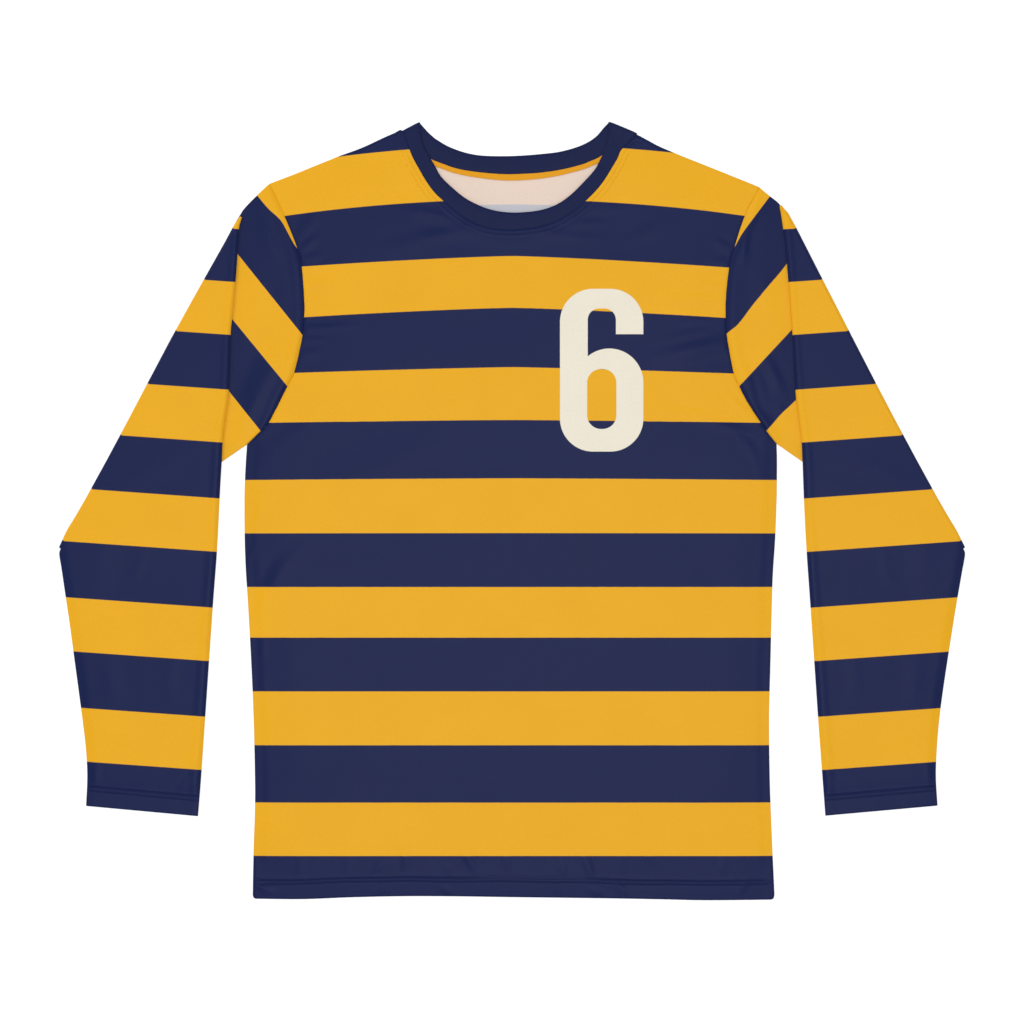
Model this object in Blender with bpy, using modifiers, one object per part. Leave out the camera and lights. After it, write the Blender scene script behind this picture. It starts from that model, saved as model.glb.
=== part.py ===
"""A long-sleeved sports jersey, men's size L, laid flat on its back.

The front lies on the back. Each sleeve is a tube that is folded once, on a slant, over to the
front, so that its forearm lies on its own upper arm and then on the table.

Lengths are in millimetres until mesh_object() turns them into metres. In the tables "up" is the
height above the hem and "out" the distance from the centre line.
"""

import math
from collections import namedtuple

import bmesh
import bpy
from mathutils import Vector

MM = 0.001

# Thickness of the cloth and the room between pieces
CLOTH = 1.0
GAP = 0.3
BAND = 1.6
TAPE = 0.6

# The body: rows go from the underarm down to the hem
Seam = namedtuple("Seam", "up left right")
SIDE_SEAMS = [
    Seam(447, 261.5, 259.5),
    Seam(412, 264.5, 261.0),
    Seam(367, 264.5, 259.0),
    Seam(301, 262.0, 255.5),
    Seam(234, 257.5, 254.0),
    Seam(146, 254.5, 253.0),
    Seam(57, 255.5, 255.0),
    Seam(4, 255.5, 257.5),
]
Hem = namedtuple("Hem", "across up")
HEM = [Hem(-253, 0), Hem(-180, 1), Hem(-75, 3), Hem(60, 1), Hem(205, -2), Hem(255, 0)]

# The armholes: rows go from the shoulder seam down to the underarm
ARMHOLES = [
    Seam(703, 239, 243),
    Seam(672, 224, 229),
    Seam(640, 212.5, 219),
    Seam(598, 205.5, 211),
    Seam(555, 207, 211),
    Seam(519, 215, 217.5),
    Seam(487, 230, 233),
    Seam(460, 247.5, 250),
    Seam(447, 261.5, 259.5),
]

# The neck: its seam lines and the free edge of the band, from the shoulder to the centre front
# or the centre back
FRONT_NECK_SEAM = [
    Seam(756, 108, 121),
    Seam(739, 101, 108),
    Seam(713, 90, 96),
    Seam(696, 78.5, 83.5),
    Seam(683, 65.5, 69.5),
    Seam(665, 34, 36),
    Seam(657, 0, 0),
]
FRONT_NECK_EDGE = [
    Seam(763, 92, 95),
    Seam(743, 90, 93),
    Seam(723, 79, 84.5),
    Seam(706, 68.5, 70),
    Seam(692, 55.5, 56),
    Seam(679, 30, 31),
    Seam(675, 0, 0),
]
BACK_NECK_SEAM = [
    Seam(756, 108, 121),
    Seam(740, 94, 100),
    Seam(728, 79, 85),
    Seam(720, 55, 58),
    Seam(714, 27, 30),
    Seam(713, 0, 0),
]
BACK_NECK_EDGE = [
    Seam(763, 92, 95),
    Seam(750, 84, 85),
    Seam(742, 73, 74),
    Seam(735, 55, 55),
    Seam(731, 28, 30),
    Seam(730, 0, 0),
]
BAND_LIFT = 0.02
NECK_STEPS = 28
TAPE_WIDTH = 5.9
TAPE_REACH = 0.72

# The sleeves: a slanted fold line, and the edges of the folded forearm
Point = namedtuple("Point", "out up")
FOLD_TOP = Point(268.5, 674)
FOLD_FOOT = Point(446, 347)
UNDERARM_SAG = 8.0
FOREARM_INNER_EDGE = [
    Point(272, 607),
    Point(277, 555),
    Point(279, 499),
    Point(284.5, 449),
    Point(286, 425),
    Point(291, 350),
    Point(297, 260),
    Point(303, 165),
    Point(310, 82),
]
FOREARM_OUTER_EDGE = [
    Point(446.3, 338),
    Point(440, 293),
    Point(431, 234),
    Point(422.5, 175),
    Point(418.3, 127),
    Point(419.5, 101),
    Point(419, 92),
]

# Lines across the forearm: where they end on both edges (as a height above the hem), how far the
# forearm has come down from the upper arm to the table, and the steps from the row before
Line = namedtuple("Line", "inner_up outer_up settled steps")
FOREARM_LINES = [
    Line(424, 331, 0.0, 6),
    Line(410, 318, 0.5, 1),
    Line(396, 305, 1.0, 1),
    Line(82, 92, 1.0, 9),
]
HEAD_STEPS = 6
ROLL_STEPS = 5
ACROSS_STEPS = 12
EDGE_STEPS = 4

# The front lies loosely on the back: how high it stands in the middle and over which distance
# it comes down to its seams
PUFF = 1.0
PUFF_REACH = 45.0
FRONT_GRID = 18.0
SLIVER = 0.5

# The largest creases of the front: the middle, the direction from +X, the length and width over
# which they fade out, and their height
Crease = namedtuple("Crease", "across up turn length width height")
CREASES = [
    Crease(178, 528, 14, 62, 17, 1.6),
    Crease(190, 478, -3, 66, 16, 1.2),
    Crease(170, 593, 8, 60, 20, 1.0),
    Crease(-232, 318, 49, 48, 15, 2.0),
    Crease(-228, 292, 66, 34, 14, 1.2),
    Crease(-78, 662, -32, 40, 18, 1.2),
    Crease(92, 668, 30, 36, 18, 1.0),
    Crease(-190, 568, 2, 34, 15, 1.0),
    Crease(-100, 36, 84, 34, 16, 1.2),
    Crease(62, 38, 92, 34, 16, 1.0),
]


def material(name, colour, roughness):
    shader = bpy.data.materials.new(name)
    shader.use_nodes = True
    node = shader.node_tree.nodes["Principled BSDF"]
    node.inputs["Base Color"].default_value = (*colour, 1.0)
    node.inputs["Roughness"].default_value = roughness
    node.inputs["Metallic"].default_value = 0.0
    return shader


def mesh_object(name, mesh, shader):
    """A finished bmesh, in millimetres, as a named object in metres."""
    bmesh.ops.recalc_face_normals(mesh, faces=mesh.faces)
    bmesh.ops.scale(mesh, vec=(MM, MM, MM), verts=mesh.verts)
    data = bpy.data.meshes.new(name)
    mesh.to_mesh(data)
    mesh.free()
    data.materials.append(shader)
    thing = bpy.data.objects.new(name, data)
    bpy.data.collections["sports_jersey"].objects.link(thing)
    return thing


def even(points, steps):
    """steps + 1 points, evenly spaced along a line of points."""
    lengths = [(b - a).length for a, b in zip(points, points[1:])]
    result = [points[0]]
    place, passed = 0, 0.0
    for step in range(1, steps):
        target = sum(lengths) * step / steps
        while passed + lengths[place] < target:
            passed += lengths[place]
            place += 1
        share = (target - passed) / lengths[place]
        result.append(points[place].lerp(points[place + 1], share))
    return result + [points[-1]]


def smooth(points, steps):
    """A Catmull-Rom curve through the points, as steps + 1 evenly spaced points."""
    fine = 12
    padded = [2 * points[0] - points[1], *points, 2 * points[-1] - points[-2]]
    curve = []
    for a, b, c, d in zip(padded, padded[1:], padded[2:], padded[3:]):
        for i in range(fine):
            t = i / fine
            curve.append(
                0.5 * (2 * b + (c - a) * t + (2 * a - 5 * b + 4 * c - d) * t**2
                       + (3 * b - a - 3 * c + d) * t**3)
            )
    return even(curve + [points[-1]], steps)


def moved_in(points, distance):
    """A line of points moved sideways, to the right of its direction."""
    result = []
    for i, point in enumerate(points):
        along = (points[min(i + 1, len(points) - 1)] - points[max(i - 1, 0)]).normalized()
        result.append(point + distance * Vector((along.y, -along.x)))
    return result


def seam_line(rows, side, steps):
    """A table of seam points as a smooth curve on one side: -1 is left, 1 is right."""
    outs = [row.right if side > 0 else row.left for row in rows]
    return smooth([Vector((side * out, row.up)) for out, row in zip(outs, rows)], steps)


def round_neck(rows):
    """A neck line from the left shoulder over the centre to the right shoulder."""
    left = [Vector((-row.left, row.up)) for row in rows]
    right = [Vector((row.right, row.up)) for row in reversed(rows[:-1])]
    return smooth(left + right, NECK_STEPS)


def armhole(side):
    return seam_line(ARMHOLES, side, 2 * ACROSS_STEPS)


def body_outline(neck_rows):
    """The outline of a body panel, and its stretches that are sewn or lie on the other panel."""
    hem = smooth([Vector(row) for row in HEM], 14)
    left = seam_line(SIDE_SEAMS, -1, 14)
    right = seam_line(SIDE_SEAMS, 1, 14)
    left_arm = moved_in(armhole(-1), -GAP)
    right_arm = moved_in(armhole(1), GAP)
    neck = moved_in(round_neck(neck_rows), GAP)
    left_shoulder = even([left_arm[0], neck[0]], 5)
    right_shoulder = even([neck[-1], right_arm[0]], 5)
    sewn = left[1:] + hem + right[1:] + left_arm + right_arm + left_shoulder + right_shoulder
    outline = left_shoulder + neck[1:] + right_shoulder[1:] + right_arm[1:] + right[1:]
    outline += list(reversed(hem)) + list(reversed(left))[:-1] + list(reversed(left_arm))[:-1]
    return outline, sewn


def flat_panel(outline):
    mesh = bmesh.new()
    mesh.faces.new([mesh.verts.new((point.x, point.y, 0.0)) for point in outline])
    return mesh


def cut_into_grid(mesh, spacing):
    """Cuts a flat panel along parallel lines both ways, so that it can take a soft form."""
    for axis in (0, 1):
        places = [vert.co[axis] for vert in mesh.verts]
        for line in range(math.ceil(min(places) / spacing), math.ceil(max(places) / spacing)):
            normal = Vector((0.0, 0.0, 0.0))
            normal[axis] = 1.0
            bmesh.ops.bisect_plane(
                mesh,
                geom=mesh.verts[:] + mesh.edges[:] + mesh.faces[:],
                dist=0.01,
                plane_co=normal * (line * spacing),
                plane_no=normal,
            )
    bmesh.ops.remove_doubles(mesh, verts=mesh.verts, dist=SLIVER)


def thicken(mesh, thickness):
    """Gives a sheet its wall, straight up from it."""
    made = bmesh.ops.extrude_face_region(mesh, geom=mesh.faces[:], use_keep_orig=True)
    top = [item for item in made["geom"] if isinstance(item, bmesh.types.BMVert)]
    bmesh.ops.translate(mesh, vec=(0.0, 0.0, thickness), verts=top)


def soft_step(value):
    """0 up to 0, 1 from 1, and a smooth rise between."""
    value = min(max(value, 0.0), 1.0)
    return value * value * (3.0 - 2.0 * value)


def crease_height(place):
    """The height of all creases together at a place of the front."""
    total = 0.0
    for crease in CREASES:
        offset = place - Vector((crease.across, crease.up))
        turn = math.radians(crease.turn)
        along = offset.x * math.cos(turn) + offset.y * math.sin(turn)
        across = offset.y * math.cos(turn) - offset.x * math.sin(turn)
        total += crease.height * math.exp(-((along / crease.length) ** 2) - (across / crease.width) ** 2)
    return total


def make_back(shader):
    outline, _ = body_outline(BACK_NECK_SEAM)
    mesh = flat_panel(outline)
    thicken(mesh, CLOTH)
    return mesh_object("back_panel", mesh, shader)


def make_front(shader):
    outline, sewn = body_outline(FRONT_NECK_SEAM)
    mesh = flat_panel(outline)
    cut_into_grid(mesh, FRONT_GRID)
    for vert in mesh.verts:
        place = vert.co.xy
        from_seam = min((place - point).length for point in sewn)
        free = soft_step(from_seam / PUFF_REACH)
        vert.co.z = CLOTH + GAP + free * (PUFF + crease_height(place))
    thicken(mesh, CLOTH)
    return mesh_object("front_panel", mesh, shader)


def at_height(points, up):
    """The point of a falling line of points at a height."""
    for a, b in zip(points, points[1:]):
        if b.y <= up <= a.y:
            return a.lerp(b, (a.y - up) / (a.y - b.y))
    return points[-1]


def sleeve_lines(side):
    """The lines across a sleeve from its armhole to its cuff, each from the top fold to the
    underarm seam, with the angle that it has turned over the fold and how far it has settled."""
    tube = 2 * CLOTH + GAP
    reach = tube + GAP / 2
    mirror = Vector((side, 1.0))
    top = Vector(FOLD_TOP) * mirror
    foot = Vector(FOLD_FOOT) * mirror
    slant = (foot - top).normalized()
    outward = Vector((slant.y, -slant.x)) * -side
    top = top - outward * reach
    foot = foot - outward * reach
    fold = even([top, foot], ACROSS_STEPS)
    hole = even(armhole(side), ACROSS_STEPS)
    lines = []
    for step in range(HEAD_STEPS):
        share = step / HEAD_STEPS
        line = [a.lerp(b, share) for a, b in zip(hole, fold)]
        for i, point in enumerate(line):
            point.y -= UNDERARM_SAG * math.sin(math.pi * share) * (i / ACROSS_STEPS) ** 2
        lines.append((line, 0.0, 0.0))
    for step in range(ROLL_STEPS + 1):
        lines.append((fold, math.pi * step / ROLL_STEPS, 0.0))
    inner = [Vector(point) * mirror for point in FOREARM_INNER_EDGE]
    outer = [Vector(point) * mirror for point in FOREARM_OUTER_EDGE]
    inner = smooth([top, *inner], 60)
    outer = smooth([foot, *outer], 60)
    inner_up, outer_up, settled = top.y, foot.y, 0.0
    for row in FOREARM_LINES:
        for step in range(1, row.steps + 1):
            share = step / row.steps
            start = at_height(inner, inner_up + (row.inner_up - inner_up) * share)
            end = at_height(outer, outer_up + (row.outer_up - outer_up) * share)
            down = settled + (row.settled - settled) * share
            lines.append((even([start, end], ACROSS_STEPS), math.pi, down))
        inner_up, outer_up, settled = row.inner_up, row.outer_up, row.settled
    return lines, outward, reach


def tube_profile(width, radius, middle):
    """A flattened ring, as distances across the sleeve and heights: out along the lower layer,
    round the underarm edge, back along the upper layer and round the top fold."""
    half = math.pi / 2
    arc = [half * (2 * i / EDGE_STEPS - 1) for i in range(1, EDGE_STEPS)]
    straight = [middle + (width - 2 * middle) * i / ACROSS_STEPS for i in range(ACROSS_STEPS + 1)]
    lower = [(place, middle - radius) for place in straight]
    upper = [(place, middle + radius) for place in reversed(straight)]
    far = [(width - middle + radius * math.cos(a), middle + radius * math.sin(a)) for a in arc]
    near = [(middle - radius * math.cos(a), middle + radius * math.sin(a)) for a in reversed(arc)]
    return lower + far + upper + near


def along(points, distance):
    """The point at a distance along a line of points."""
    for a, b in zip(points, points[1:]):
        length = (b - a).length
        if distance <= length or b is points[-1]:
            return a.lerp(b, distance / length)
        distance -= length


def make_sleeve(name, side, shader):
    """A tube of one wall: an outer and an inner skin through the same lines, joined at both ends."""
    lines, outward, reach = sleeve_lines(side)
    middle = CLOTH + GAP / 2
    mesh = bmesh.new()
    skins = []
    for radius in (middle, GAP / 2):
        rings = []
        for points, turned, settled in lines:
            width = sum((b - a).length for a, b in zip(points, points[1:]))
            ring = []
            for across, height in tube_profile(width, radius, middle):
                place = along(points, across)
                if not rings:
                    place = place + outward * GAP
                lever = reach - height
                place = place + outward * lever * math.sin(turned)
                up = reach - lever * math.cos(turned) - settled * (2 * reach - 2 * middle)
                ring.append(mesh.verts.new((place.x, place.y, up)))
            rings.append(ring)
        skins.append(rings)
    bands = [(a, b) for rings in skins for a, b in zip(rings, rings[1:])]
    bands += [(skins[0][0], skins[1][0]), (skins[0][-1], skins[1][-1])]
    for a, b in bands:
        for i in range(len(a)):
            j = (i + 1) % len(a)
            mesh.faces.new((a[i], a[j], b[j], b[i]))
    return mesh_object(name, mesh, shader)


def make_neck_band(shader):
    """The band is a ring: outside up along the front, over at each shoulder, inside up along
    the back."""
    low = BAND / 2 + BAND_LIFT
    high = low + BAND + 2 * GAP
    radius = (high - low) / 2
    front = list(zip(round_neck(FRONT_NECK_SEAM), round_neck(FRONT_NECK_EDGE)))
    back = list(zip(round_neck(BACK_NECK_SEAM), round_neck(BACK_NECK_EDGE)))
    stations = [(seam, edge, high) for seam, edge in front]
    for (seam, edge), sign in ((front[-1], 1), (front[0], -1)):
        slant = (edge - seam).normalized()
        outward = Vector((-slant.y, slant.x)) * -sign
        turns = [math.pi * i / 4 for i in range(1, 4)]
        if sign < 0:
            stations += [(seam, edge, low) for seam, edge in reversed(back)]
            turns.reverse()
        for turn in turns:
            shift = outward * radius * math.sin(turn)
            up = low + radius + radius * math.cos(turn)
            stations.append((seam + shift, edge + shift, up))
    mesh = bmesh.new()
    rows = []
    for seam, edge, up in stations:
        middle = seam.lerp(edge, 0.5)
        rows.append([mesh.verts.new((p.x, p.y, up)) for p in (seam, middle, edge)])
    for a, b in zip(rows, rows[1:] + rows[:1]):
        for i in range(2):
            mesh.faces.new((a[i], a[i + 1], b[i + 1], b[i]))
    band = mesh_object("neck_band", mesh, shader)
    wall = band.modifiers.new("wall", "SOLIDIFY")
    wall.thickness = BAND * MM
    wall.offset = 0.0
    wall.use_even_offset = True
    return band


def make_neck_tape(shader):
    """A strip that lies on the inside of the back, along the back neck seam."""
    seam = moved_in(round_neck(BACK_NECK_SEAM), 2 * GAP)
    skip = round(len(seam) * (1 - TAPE_REACH) / 2)
    seam = seam[skip:len(seam) - skip]
    lower = moved_in(seam, TAPE_WIDTH)
    mesh = flat_panel(seam + list(reversed(lower)))
    bmesh.ops.translate(mesh, vec=(0.0, 0.0, CLOTH + GAP), verts=mesh.verts)
    thicken(mesh, TAPE)
    return mesh_object("neck_tape", mesh, shader)


def put_origin_at_bottom_centre(pieces):
    """Moves all pieces together, so that the origin is under the middle of the jersey."""
    bpy.context.view_layer.update()
    graph = bpy.context.evaluated_depsgraph_get()
    corners = [Vector(corner) for piece in pieces for corner in piece.evaluated_get(graph).bound_box]
    low = [min(corner[axis] for corner in corners) for axis in range(3)]
    high = [max(corner[axis] for corner in corners) for axis in range(3)]
    shift = Vector(((low[0] + high[0]) / 2, (low[1] + high[1]) / 2, low[2]))
    for piece in pieces:
        for vert in piece.data.vertices:
            vert.co -= shift


def main():
    for thing in list(bpy.data.objects):
        bpy.data.objects.remove(thing)
    jersey = bpy.data.collections.new("sports_jersey")
    bpy.context.scene.collection.children.link(jersey)
    navy = material("navy_knit", (0.025, 0.032, 0.090), 0.75)
    yellow = material("yellow_knit", (0.80, 0.40, 0.025), 0.75)
    rib = material("navy_rib", (0.019, 0.025, 0.072), 0.8)
    pieces = [
        make_back(navy),
        make_front(navy),
        make_sleeve("sleeve_left", -1, yellow),
        make_sleeve("sleeve_right", 1, yellow),
        make_neck_band(rib),
        make_neck_tape(yellow),
    ]
    put_origin_at_bottom_centre(pieces)


main()
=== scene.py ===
# %% [markdown]
# A long-sleeved sports jersey, laid flat
#
# The jersey is cut from a thin polyester knit that is printed with navy and yellow cross
# stripes. It lies on its back, and each sleeve is folded once, on a slant, over to the front.
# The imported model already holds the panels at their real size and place. Here each of them is
# made again as fine cloth: rolled seams, turned hems, twin needle rows, soft creases and print.

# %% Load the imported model
import math
from collections import namedtuple

import bmesh
import bpy
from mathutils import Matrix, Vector
from mathutils.kdtree import KDTree


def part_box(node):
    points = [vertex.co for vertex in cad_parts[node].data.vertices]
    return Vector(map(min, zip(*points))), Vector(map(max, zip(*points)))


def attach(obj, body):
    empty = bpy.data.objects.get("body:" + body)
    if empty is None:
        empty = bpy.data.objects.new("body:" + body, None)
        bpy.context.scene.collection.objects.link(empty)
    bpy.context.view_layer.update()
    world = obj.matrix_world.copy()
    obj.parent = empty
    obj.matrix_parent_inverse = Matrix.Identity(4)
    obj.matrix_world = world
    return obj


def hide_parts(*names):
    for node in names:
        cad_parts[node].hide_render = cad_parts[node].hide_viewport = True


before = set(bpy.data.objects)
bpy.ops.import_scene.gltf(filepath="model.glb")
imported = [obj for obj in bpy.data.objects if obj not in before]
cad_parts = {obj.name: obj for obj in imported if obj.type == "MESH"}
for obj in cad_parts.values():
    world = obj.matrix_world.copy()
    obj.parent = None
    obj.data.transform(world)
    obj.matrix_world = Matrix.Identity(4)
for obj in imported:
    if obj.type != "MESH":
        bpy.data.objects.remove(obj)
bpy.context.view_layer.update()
print("nodes:", sorted(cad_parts))

# %% [markdown]
# Cloth is easier to think about in millimetres, as a cutter does. "up" is the height above the
# hem and "out" the distance from the centre line. Every piece is modelled in those units, and
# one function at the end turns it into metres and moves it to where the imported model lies.
# CLOTH is the thickness of a wall and GAP the air between two layers. HEM_DIP says how far the
# packed hem reaches below the line where "up" is 0.

# %% Units and the wall of the cloth
MM = 0.001
CLOTH = 1.0
GAP = 0.3
HEM_DIP = 2.0
hem_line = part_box("back_panel")[0].y + HEM_DIP * MM
print("the hem line lies at y =", round(hem_line, 4))

# %% [markdown]
# The outlines of a garment are long, easy curves. A few measured points are enough for each,
# and a Catmull-Rom curve runs through them. A point can then be asked for by its share of the
# curve's length, which is what a grid of cloth needs.

# %% Curves through a few points
def smooth(points, fine=14):
    """A Catmull-Rom curve through the points, with fine steps between two of them."""
    padded = [2 * points[0] - points[1], *points, 2 * points[-1] - points[-2]]
    curve = []
    for a, b, c, d in zip(padded, padded[1:], padded[2:], padded[3:]):
        for i in range(fine):
            t = i / fine
            curve.append(0.5 * (2 * b + (c - a) * t + (2 * a - 5 * b + 4 * c - d) * t**2
                                + (3 * b - a - 3 * c + d) * t**3))
    return curve + [points[-1]]


class Thread:
    """A line of points that can be asked for a point at a share of its length."""

    def __init__(self, points):
        self.points = points
        self.ends = [0.0]
        for a, b in zip(points, points[1:]):
            self.ends.append(self.ends[-1] + (b - a).length)
        self.length = self.ends[-1]

    def at(self, share):
        target = min(max(share, 0.0), 1.0) * self.length
        low, high = 0, len(self.ends) - 1
        while high - low > 1:
            middle = (low + high) // 2
            if self.ends[middle] <= target:
                low = middle
            else:
                high = middle
        part = (target - self.ends[low]) / max(self.ends[high] - self.ends[low], 1e-9)
        return self.points[low].lerp(self.points[high], part)

    def even(self, steps):
        return [self.at(i / steps) for i in range(steps + 1)]


def moved_in(points, distance):
    """A line of points moved sideways, to the right of its direction."""
    result = []
    for i, point in enumerate(points):
        along = (points[min(i + 1, len(points) - 1)] - points[max(i - 1, 0)]).normalized()
        result.append(point + distance * Vector((along.y, -along.x)))
    return result


# %% [markdown]
# The outline of the body was measured on the garment itself. The left and the right side are
# not quite the same, as on any hand-laid shirt, so each has its own points. "out" counts from
# the centre line to either side. The neck lines run from the left shoulder to the right one.

# %% Measures of the body and the neck
def table(kind, *rows):
    """A table with named columns: each row becomes one named tuple of its kind."""
    return [kind(*row) for row in rows]


Point = namedtuple("Point", "out up")
SIDE_SEAMS = {
    -1: table(
        Point, (261.3, 447.4), (262.4, 432), (263.4, 412), (263.9, 392), (263.6, 353),
        (262.5, 323), (260.6, 294), (257.3, 235), (254.8, 176), (253.5, 117), (253.6, 87),
        (254.9, 48), (255.6, 8), (255.6, 4),
    ),
    1: table(
        Point, (260.0, 448.0), (260.4, 432), (260.3, 412), (260.0, 392), (258.5, 353),
        (256.5, 323), (255.4, 294), (254.0, 235), (252.6, 176), (253.3, 117), (254.3, 87),
        (255.9, 48), (257.7, 8), (257.8, 4),
    ),
}
HEM = [
    (-253, 0.3), (-205, 0.0), (-158, 1.8), (-110, 2.8), (-70, 2.8), (0, 1.9), (90, 0.8),
    (145, -0.2), (190, -1.1), (255, -0.6),
]
ARMHOLES = {
    -1: table(
        Point, (239.3, 703.9), (224.3, 672), (212.0, 641), (207.6, 623), (205.0, 590),
        (205.0, 575), (206.7, 554.5), (214.6, 519), (221.5, 505), (239.6, 469.5), (247.8, 460.6),
        (261.3, 447.4),
    ),
    1: table(
        Point, (243.3, 700.5), (228.5, 672), (218.0, 640), (213.3, 621.5), (210.3, 595),
        (209.8, 573), (211.0, 554), (217.6, 518), (223.1, 505), (231.9, 488), (249.8, 461),
        (260.0, 448.0),
    ),
}
SHOULDERS = {
    -1: table(
        Point, (107.9, 756.4), (111.2, 756.9), (115.8, 754.1), (126, 749.7), (149.6, 738.9),
        (173.2, 730.2), (210.6, 715), (239.3, 703.9),
    ),
    1: table(
        Point, (122.6, 752.3), (125.5, 750.9), (130.9, 748.0), (136.2, 745.1), (145.7, 740.2),
        (165.4, 731.9), (194.9, 720.1), (224.4, 708.3), (243.3, 700.5),
    ),
}
FRONT_NECK_SEAM = [
    (-107.9, 756.4), (-101.6, 738), (-97.6, 728), (-89.4, 713), (-83.2, 703), (-75.2, 693),
    (-61.6, 681), (-53.4, 674.1), (-44.2, 668.2), (-32, 662.3), (-20, 659.2), (-2.5, 658.2),
    (15.5, 659.2), (27, 661.5), (36.9, 664), (46.7, 668.2), (56.6, 674.1), (66.4, 681.5),
    (78.9, 693), (87.7, 703), (94.4, 713), (103.3, 728), (108, 738), (122.6, 752.3),
]
FRONT_NECK_EDGE = [
    (-90.8, 763.5), (-90.5, 755.7), (-88, 742.9), (-82, 731.2), (-76.3, 721.5), (-70.3, 711),
    (-59, 699.9), (-47.2, 690.3), (-35.4, 683.8), (-23.6, 679.2), (-11.8, 676.6), (0, 675.6),
    (11.8, 676.0), (23.6, 677.3), (35.4, 680.2), (47.2, 685.7), (59, 694.6), (71.3, 707),
    (81.2, 718.3), (87.4, 730.2), (91.2, 740), (94.2, 752.8), (94.2, 763.9),
]
BACK_NECK_SEAM = [
    (-107.9, 756.4), (-97, 741), (-88, 732.8), (-79.3, 727.6), (-66.5, 722.7), (-56.6, 719.3),
    (-41.9, 716.3), (-22.2, 714.1), (-6, 713.2), (10, 713.6), (27.1, 714.7), (46.8, 717.5),
    (66.4, 722.2), (76.3, 725.9), (85.6, 730.1), (96, 737.3), (108, 745), (122.6, 752.3),
]
BACK_NECK_EDGE = [
    (-90.8, 763.5), (-86.6, 758.7), (-82.7, 754.5), (-78.7, 750.9), (-74.8, 747.8),
    (-63, 740.9), (-47.3, 735.1), (-31.5, 732.1), (-12, 731.4), (8, 731.9), (31.5, 733.8),
    (47.2, 735.9), (63, 740.2), (74, 745.0), (81.7, 750.2), (85.6, 754.2), (89.4, 758.9),
    (94.2, 763.9),
]


def side_curve(points, side):
    """Points measured outwards as a smooth curve on one side: -1 is left, 1 is right."""
    return Thread(smooth([Vector((side * point.out, point.up)) for point in points]))


def neck_curve(points):
    return Thread(smooth([Vector(point) for point in points]))


def backwards(thread):
    return Thread(list(reversed(thread.points)))


armholes = {side: side_curve(ARMHOLES[side], side) for side in (-1, 1)}
print("armhole seam, mm:", round(armholes[-1].length), round(armholes[1].length))

# %% [markdown]
# The stripes are printed on the cut pieces before they are sewn, so they belong to the cloth
# and not to the room. Each point of the cloth gets a stripe number, written to the mesh as an
# attribute: odd numbers are yellow, even ones navy. At the shoulders the print bows a little,
# so a row gives a border's height at the centre, how far it falls at BOW_OUT to the sides, how
# sharply it bends and how far it leans to the right.

# %% Stripes of the body
Border = namedtuple("Border", "up bow power lean", defaults=(0.0, 1.3, 0.0))
BODY_BORDERS = table(
    Border, (741.3, 13.6, 2.2, -1.5), (688.3, 12.7, 2.0, -0.3), (632.7, 10.2, 1.3, 0.3),
    (581.9, 9.2, 1.3, 0.2), (523.4, 5.5, 1.2, 0.25), (471.5, 2.1), (414.0, 1.2), (360.2, 0.2),
    (307.05,), (257.4,), (204.4,), (151.5,), (94.9,), (42.5,), (-11.0,),
)
BACK_BORDERS = [BODY_BORDERS[0], Border(683.6, 8.1, 1.6), *BODY_BORDERS[2:]]
BOW_OUT = 202.0
BODY_PITCH = 60.0


def border_height(border, across):
    out = across / BOW_OUT
    return border.up - border.bow * abs(out) ** border.power - border.lean * out


def stripe_number(heights, up, pitch):
    """Which stripe a height falls in, with the share of the way through it.
    Past the first and the last border, the stripes go on at one pitch."""
    if up >= heights[0]:
        return 1.0 - (up - heights[0]) / pitch
    for number, (above, below) in enumerate(zip(heights, heights[1:]), 2):
        if up >= below:
            return number - (up - below) / (above - below)
    return len(heights) + (heights[-1] - up) / pitch


def body_stripe(across, up, borders=BODY_BORDERS):
    heights = [border_height(border, across) for border in borders]
    return stripe_number(heights, up, BODY_PITCH)


# %% [markdown]
# A panel starts as one flat grid from Blender's own grid operator. Its four edges are then laid
# on the four sides of the cut, and the inside follows them: this is a Coons patch. The rows of
# the grid run along the hem and along the neck, so hems and needle rows get clean edges. The
# other way, cutting an outline with planes, leaves slivers along every seam.

# %% A grid that follows the cut
def shares(length, cell, first=(), last=()):
    """Places along an edge as shares of its length: extra ones at both ends, then even cells."""
    start, end = (first[-1] if first else 0.0), length - (last[-1] if last else 0.0)
    steps = max(1, round((end - start) / cell))
    places = [0.0, *first[:-1]] if first else []
    places += [start + (end - start) * i / steps for i in range(steps + 1)]
    places += [length - place for place in reversed(last[:-1])] + ([length] if last else [])
    return [place / length for place in places]


def grid_rows(mesh, nx, ny):
    """Adds a grid of nx by ny cells to a mesh and returns its points, row by row."""
    made = bmesh.ops.create_grid(mesh, x_segments=nx, y_segments=ny, size=0.5)
    rows = [[None] * (nx + 1) for _ in range(ny + 1)]
    for vert in made["verts"]:
        rows[round((vert.co.y + 0.5) * ny)][round((vert.co.x + 0.5) * nx)] = vert
    mesh.verts.index_update()
    return rows


def laid_grid(columns, rows, place):
    """A grid of cloth: place(column share, row share) says where each point lies."""
    mesh = bmesh.new()
    for v, line in zip(rows, grid_rows(mesh, len(columns) - 1, len(rows) - 1)):
        for u, vert in zip(columns, line):
            vert.co = place(u, v)
    return mesh


def coons(bottom, top, left, right):
    """A place() for laid_grid that fills the area between four sides."""
    corner = [bottom(0.0), bottom(1.0), top(0.0), top(1.0)]

    def place(u, v):
        point = (1 - v) * bottom(u) + v * top(u) + (1 - u) * left(v) + u * right(v)
        point -= (1 - u) * (1 - v) * corner[0] + u * (1 - v) * corner[1]
        point -= (1 - u) * v * corner[2] + u * v * corner[3]
        return point.to_3d()

    return place


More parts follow.
